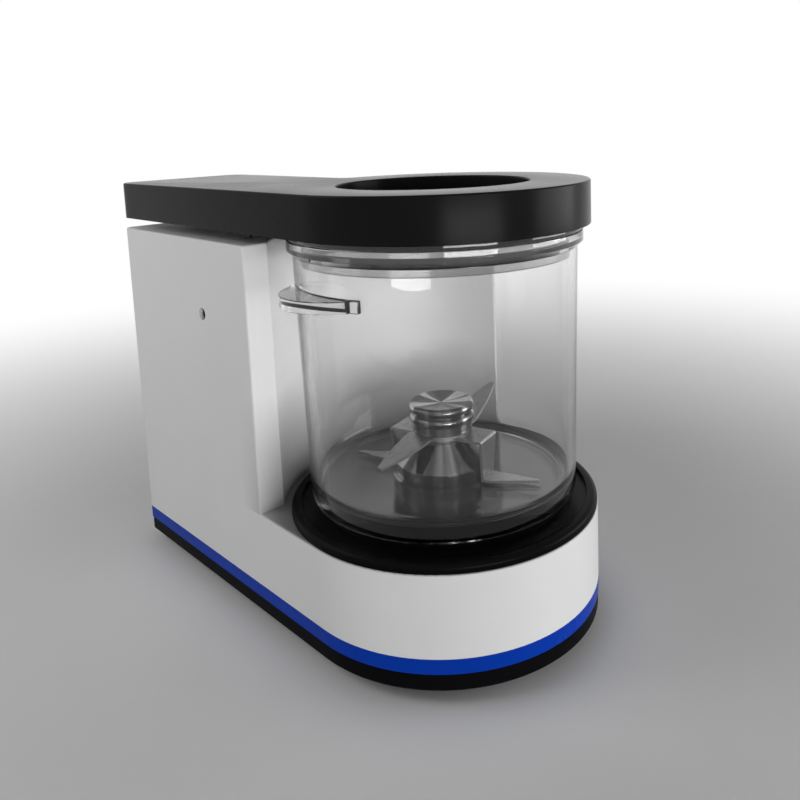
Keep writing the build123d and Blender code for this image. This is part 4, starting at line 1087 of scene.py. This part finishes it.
@dataclass
class Seat:
    """Black seat under the bowl."""

    deck: float = low_of("bowl_seat")  # Height of the deck that it lies on
    platform_top: float = high_of("bowl_seat")  # Height of the platform under the bowl
    outer: float = 111.0  # Outside radius
    rim: float = 6.3  # Height of the rim above the deck
    rim_inner: float = 103.5  # Inside radius of the rim
    groove: float = 2.8  # Height of the groove's floor above the deck
    platform: float = 88.0  # Radius of the platform
    bore: float = 20.0  # Radius of the hole in the middle
    rim_round: float = 4.0  # Rounding outside the rim
    rim_edge: float = 1.0  # Rounding inside the rim
    platform_edge: float = 0.6  # Rounding of the platform's edge
    edge: float = 0.4  # Rounding of the other corners

    def build(self, shop: Workshop) -> None:
        """Turn the seat: platform, groove and rounded rim.

        Args:
            shop: Keeper of the materials.
        """
        rim, groove = self.deck + self.rim, self.deck + self.groove
        profile = rounded(
            (self.bore, self.deck, 0.0),
            (self.outer, self.deck, 0.0),
            (self.outer, rim, self.rim_round),
            (self.rim_inner, rim, self.rim_edge),
            (self.rim_inner, groove, self.edge),
            (self.platform, groove, self.edge),
            (self.platform, self.platform_top, self.platform_edge),
            (self.bore, self.platform_top, self.edge),
            steps=8,
        )
        piece = turned("bowl_seat_turned", profile, FINE_TURN)
        shop.complete(piece, SEAT_PLASTIC, "housing", "bowl_seat")


@dataclass
class Arm:
    """Black arm casing with its round feed hole."""

    under: float = low_of("arm_shell")  # Height of the underside
    top: float = high_of("arm_shell")  # Height of the top
    radius: float = 109.0  # Radius of the head
    far: float = 5.0  # Distance from the bowl's axis to the neck's far side
    back: float = 280.0  # Distance from the bowl's axis to the back end
    corner: float = 15.0  # Radius of the back corners
    hollow: float = 10.0  # Radius of the hollow corner between head and neck
    edge: float = 1.2  # Rounding of the top edges
    feed: float = 67.8  # Radius of the feed hole
    wall: float = 4.0  # Thickness of the casing

    def plan(self, inset: float) -> np.ndarray:
        """Keyhole outline: a round head, and a neck that leaves it in a straight near side.

        The points run round by their angle at the bowl's axis, so every outline of the
        arm has the same count. The head is a circle arc, and the neck is a rectangle with
        round back corners and a small hollow corner where it meets the head.

        Args:
            inset: Distance by which the outline is drawn in.

        Returns:
            Points from the bowl's axis, one row each.
        """
        near, far, back = self.radius - inset, self.far - inset, self.back - inset
        corner, hollow = self.corner - inset, self.hollow + inset
        middle = (far + hollow, math.sqrt((near + hollow) ** 2 - (far + hollow) ** 2))
        meet = math.atan2(middle[1], middle[0])
        straight_end = back - corner
        quarter = np.linspace(0, math.pi / 2, 13)
        return np.vstack(
            [
                bow((0, 0), near, np.linspace(math.pi, 2 * math.pi + meet, 220)),
                bow(middle, hollow, np.linspace(meet - math.pi, -math.pi, 9)[1:]),
                between((far, middle[1]), (far, straight_end), 18),
                bow((far - corner, straight_end), corner, quarter),
                between((far - corner, back), (corner - near, back), 18),
                bow((corner - near, straight_end), corner, quarter + math.pi / 2),
                between((-near, straight_end), (-near, 0), 38),
            ]
        )

    def circle(self, radius: float) -> np.ndarray:
        """Circle about the bowl's axis, its points at the same angles as the outline's."""
        plan = self.plan(0.0)
        return plan / np.linalg.norm(plan, axis=1, keepdims=True) * radius

    def build(self, shop: Workshop) -> None:
        """Join the outer wall, the top, the feed hole and the open inside into one casing.

        The top edges are quarter circles: at an angle t, drawn in by edge x (1 - cos t)
        and down by edge x (1 - sin t).

        Args:
            shop: Keeper of the materials.
        """
        quarter = np.linspace(0, math.pi / 2, 6)
        heights = self.top - self.edge * (1 - np.sin(quarter))
        insets = self.edge * (1 - np.cos(quarter))
        inside = self.top - self.wall
        sleeve = self.circle(self.feed + self.wall)
        rows = [(self.plan(0.0), self.under)]
        rows += [(self.plan(inset), height) for height, inset in zip(heights, insets)]
        rows += [
            (self.circle(self.feed + inset), height)
            for height, inset in zip(heights[::-1], insets[::-1])
        ]
        rows += [(self.circle(self.feed), self.under), (sleeve, self.under), (sleeve, inside)]
        rows += [(self.plan(self.wall), inside), (self.plan(self.wall), self.under)]
        piece = layered("arm_casing", rows)
        shop.complete(piece, ARM_COAT, "arm", "arm_shell")


# Stage, light and camera


@dataclass(frozen=True)
class Lamp:
    """Soft window-shaped lamp that points at a place."""

    name: str
    place: Place  # Where it hangs
    aim: Place  # Where it points
    size: tuple[float, float]  # Width and height
    power: float  # Power in watts

    def build(self) -> None:
        """Hang the lamp in the scene."""
        data = bpy.data.lights.new(self.name, "AREA")
        data.shape = "RECTANGLE"
        data.size, data.size_y = self.size
        data.energy = self.power
        lamp = bpy.data.objects.new(self.name, data)
        lamp.location = self.place
        lamp.rotation_mode = "QUATERNION"
        lamp.rotation_quaternion = (Vector(self.aim) - Vector(self.place)).to_track_quat("-Z", "Y")
        bpy.context.scene.collection.objects.link(lamp)


# A low window in front and one at the right draw the upright streaks in the bowl and
# the steel, and a weak lamp behind at the left opens the tower's side
LAMPS = (
    Lamp("front_window", (-0.55, -1.85, 0.18), (0, 0, 0.2), (1.3, 0.3), 15),
    Lamp("right_window", (1.35, -1.2, 0.32), (0, 0, 0.15), (1.2, 0.5), 10),
    Lamp("left_fill", (-0.8, 0.5, 0.75), (-0.1, 0.1, 0.25), (0.6, 0.6), 2.8),
)


@dataclass
class Studio:
    """Table, lamps and camera.

    The camera is fitted to the photograph's view, but it looks down a little and shifts
    its frame less, so that views from other sides keep the whole object in the frame.
    """

    eye_mm: Place = (-380.72, -502.28, 354.53)  # Place of the camera
    right: Place = (0.72074519, -0.69230658, -0.03518492)  # Direction of the picture's right side
    up: Place = (0.12156803, 0.07626515, 0.98964885)  # Direction of the picture's top
    lens_mm: float = 36.5  # Focal length on the sensor below
    sensor_mm: float = 36.0  # Width of the sensor
    shift: tuple[float, float] = (-0.06, -0.2)  # Sideways and upward shift of the frame
    clip: tuple[float, float] = (0.05, 50.0)  # Nearest and furthest distance that the camera sees
    surround: float = 0.14  # Strength of the even light from all round
    reach: float = 6.0  # Half the width of the table

    def camera(self) -> None:
        """Add the camera and look through it."""
        data = bpy.data.cameras.new("camera")
        data.lens = self.lens_mm
        data.sensor_width = self.sensor_mm
        data.shift_x, data.shift_y = self.shift
        data.clip_start, data.clip_end = self.clip
        camera = bpy.data.objects.new("camera", data)
        right, up = Vector(self.right), Vector(self.up)
        turn = Matrix((right, up, right.cross(up))).transposed().to_4x4()
        camera.matrix_world = Matrix.Translation(Vector(self.eye_mm) * MM) @ turn
        bpy.context.scene.collection.objects.link(camera)
        bpy.context.scene.camera = camera

    def table(self, shop: Workshop) -> None:
        """Lay the flat table top under the object.

        Args:
            shop: Keeper of the materials.
        """
        corners = [(x * self.reach, y * self.reach, 0) for x, y in ((-1, -1), (1, -1), (1, 1), (-1, 1))]
        piece = make_piece("table_top", np.array(corners), [(0, 1, 2, 3)])
        shop.dress(piece, TABLE_TOP)

    def world(self) -> None:
        """Even grey surroundings that look white to the camera, to gloss and through glass."""
        world = bpy.data.worlds.new("room")
        world.use_nodes = True
        bpy.context.scene.world = world
        nodes = Nodes(world.node_tree)
        strength = nodes.add(
            "MapRange",
            values={"To Min": self.surround, "To Max": 1.0},
            links={0: nodes.looked_at()},
        )
        background = world.node_tree.nodes["Background"]
        nodes.fill(background, {"Color": grey(1.0)}, {"Strength": strength})

    def build(self, shop: Workshop) -> None:
        """Set up the camera, the table, the surroundings and the lamps.

        Args:
            shop: Keeper of the materials.
        """
        self.camera()
        self.table(shop)
        self.world()
        for lamp in LAMPS:
            lamp.build()
        bpy.context.scene.view_settings.view_transform = "Standard"


def main() -> None:
    """Dress the frame, build the pieces and set up the stage."""
    logging.basicConfig(level=logging.INFO, format="%(name)s: %(message)s")
    shop = Workshop()
    for finish, nodes in NODES_OF.items():
        for node in nodes:
            shop.dress(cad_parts[node], finish)
    LOG.info("dressed %d CAD nodes", sum(map(len, NODES_OF.values())))
    for part in (Bowl(), Lid(), Cutter(), Seat(), Arm(), Studio()):
        part.build(shop)
        LOG.info("built %s", type(part).__name__)


if __name__ == "__main__":
    main()
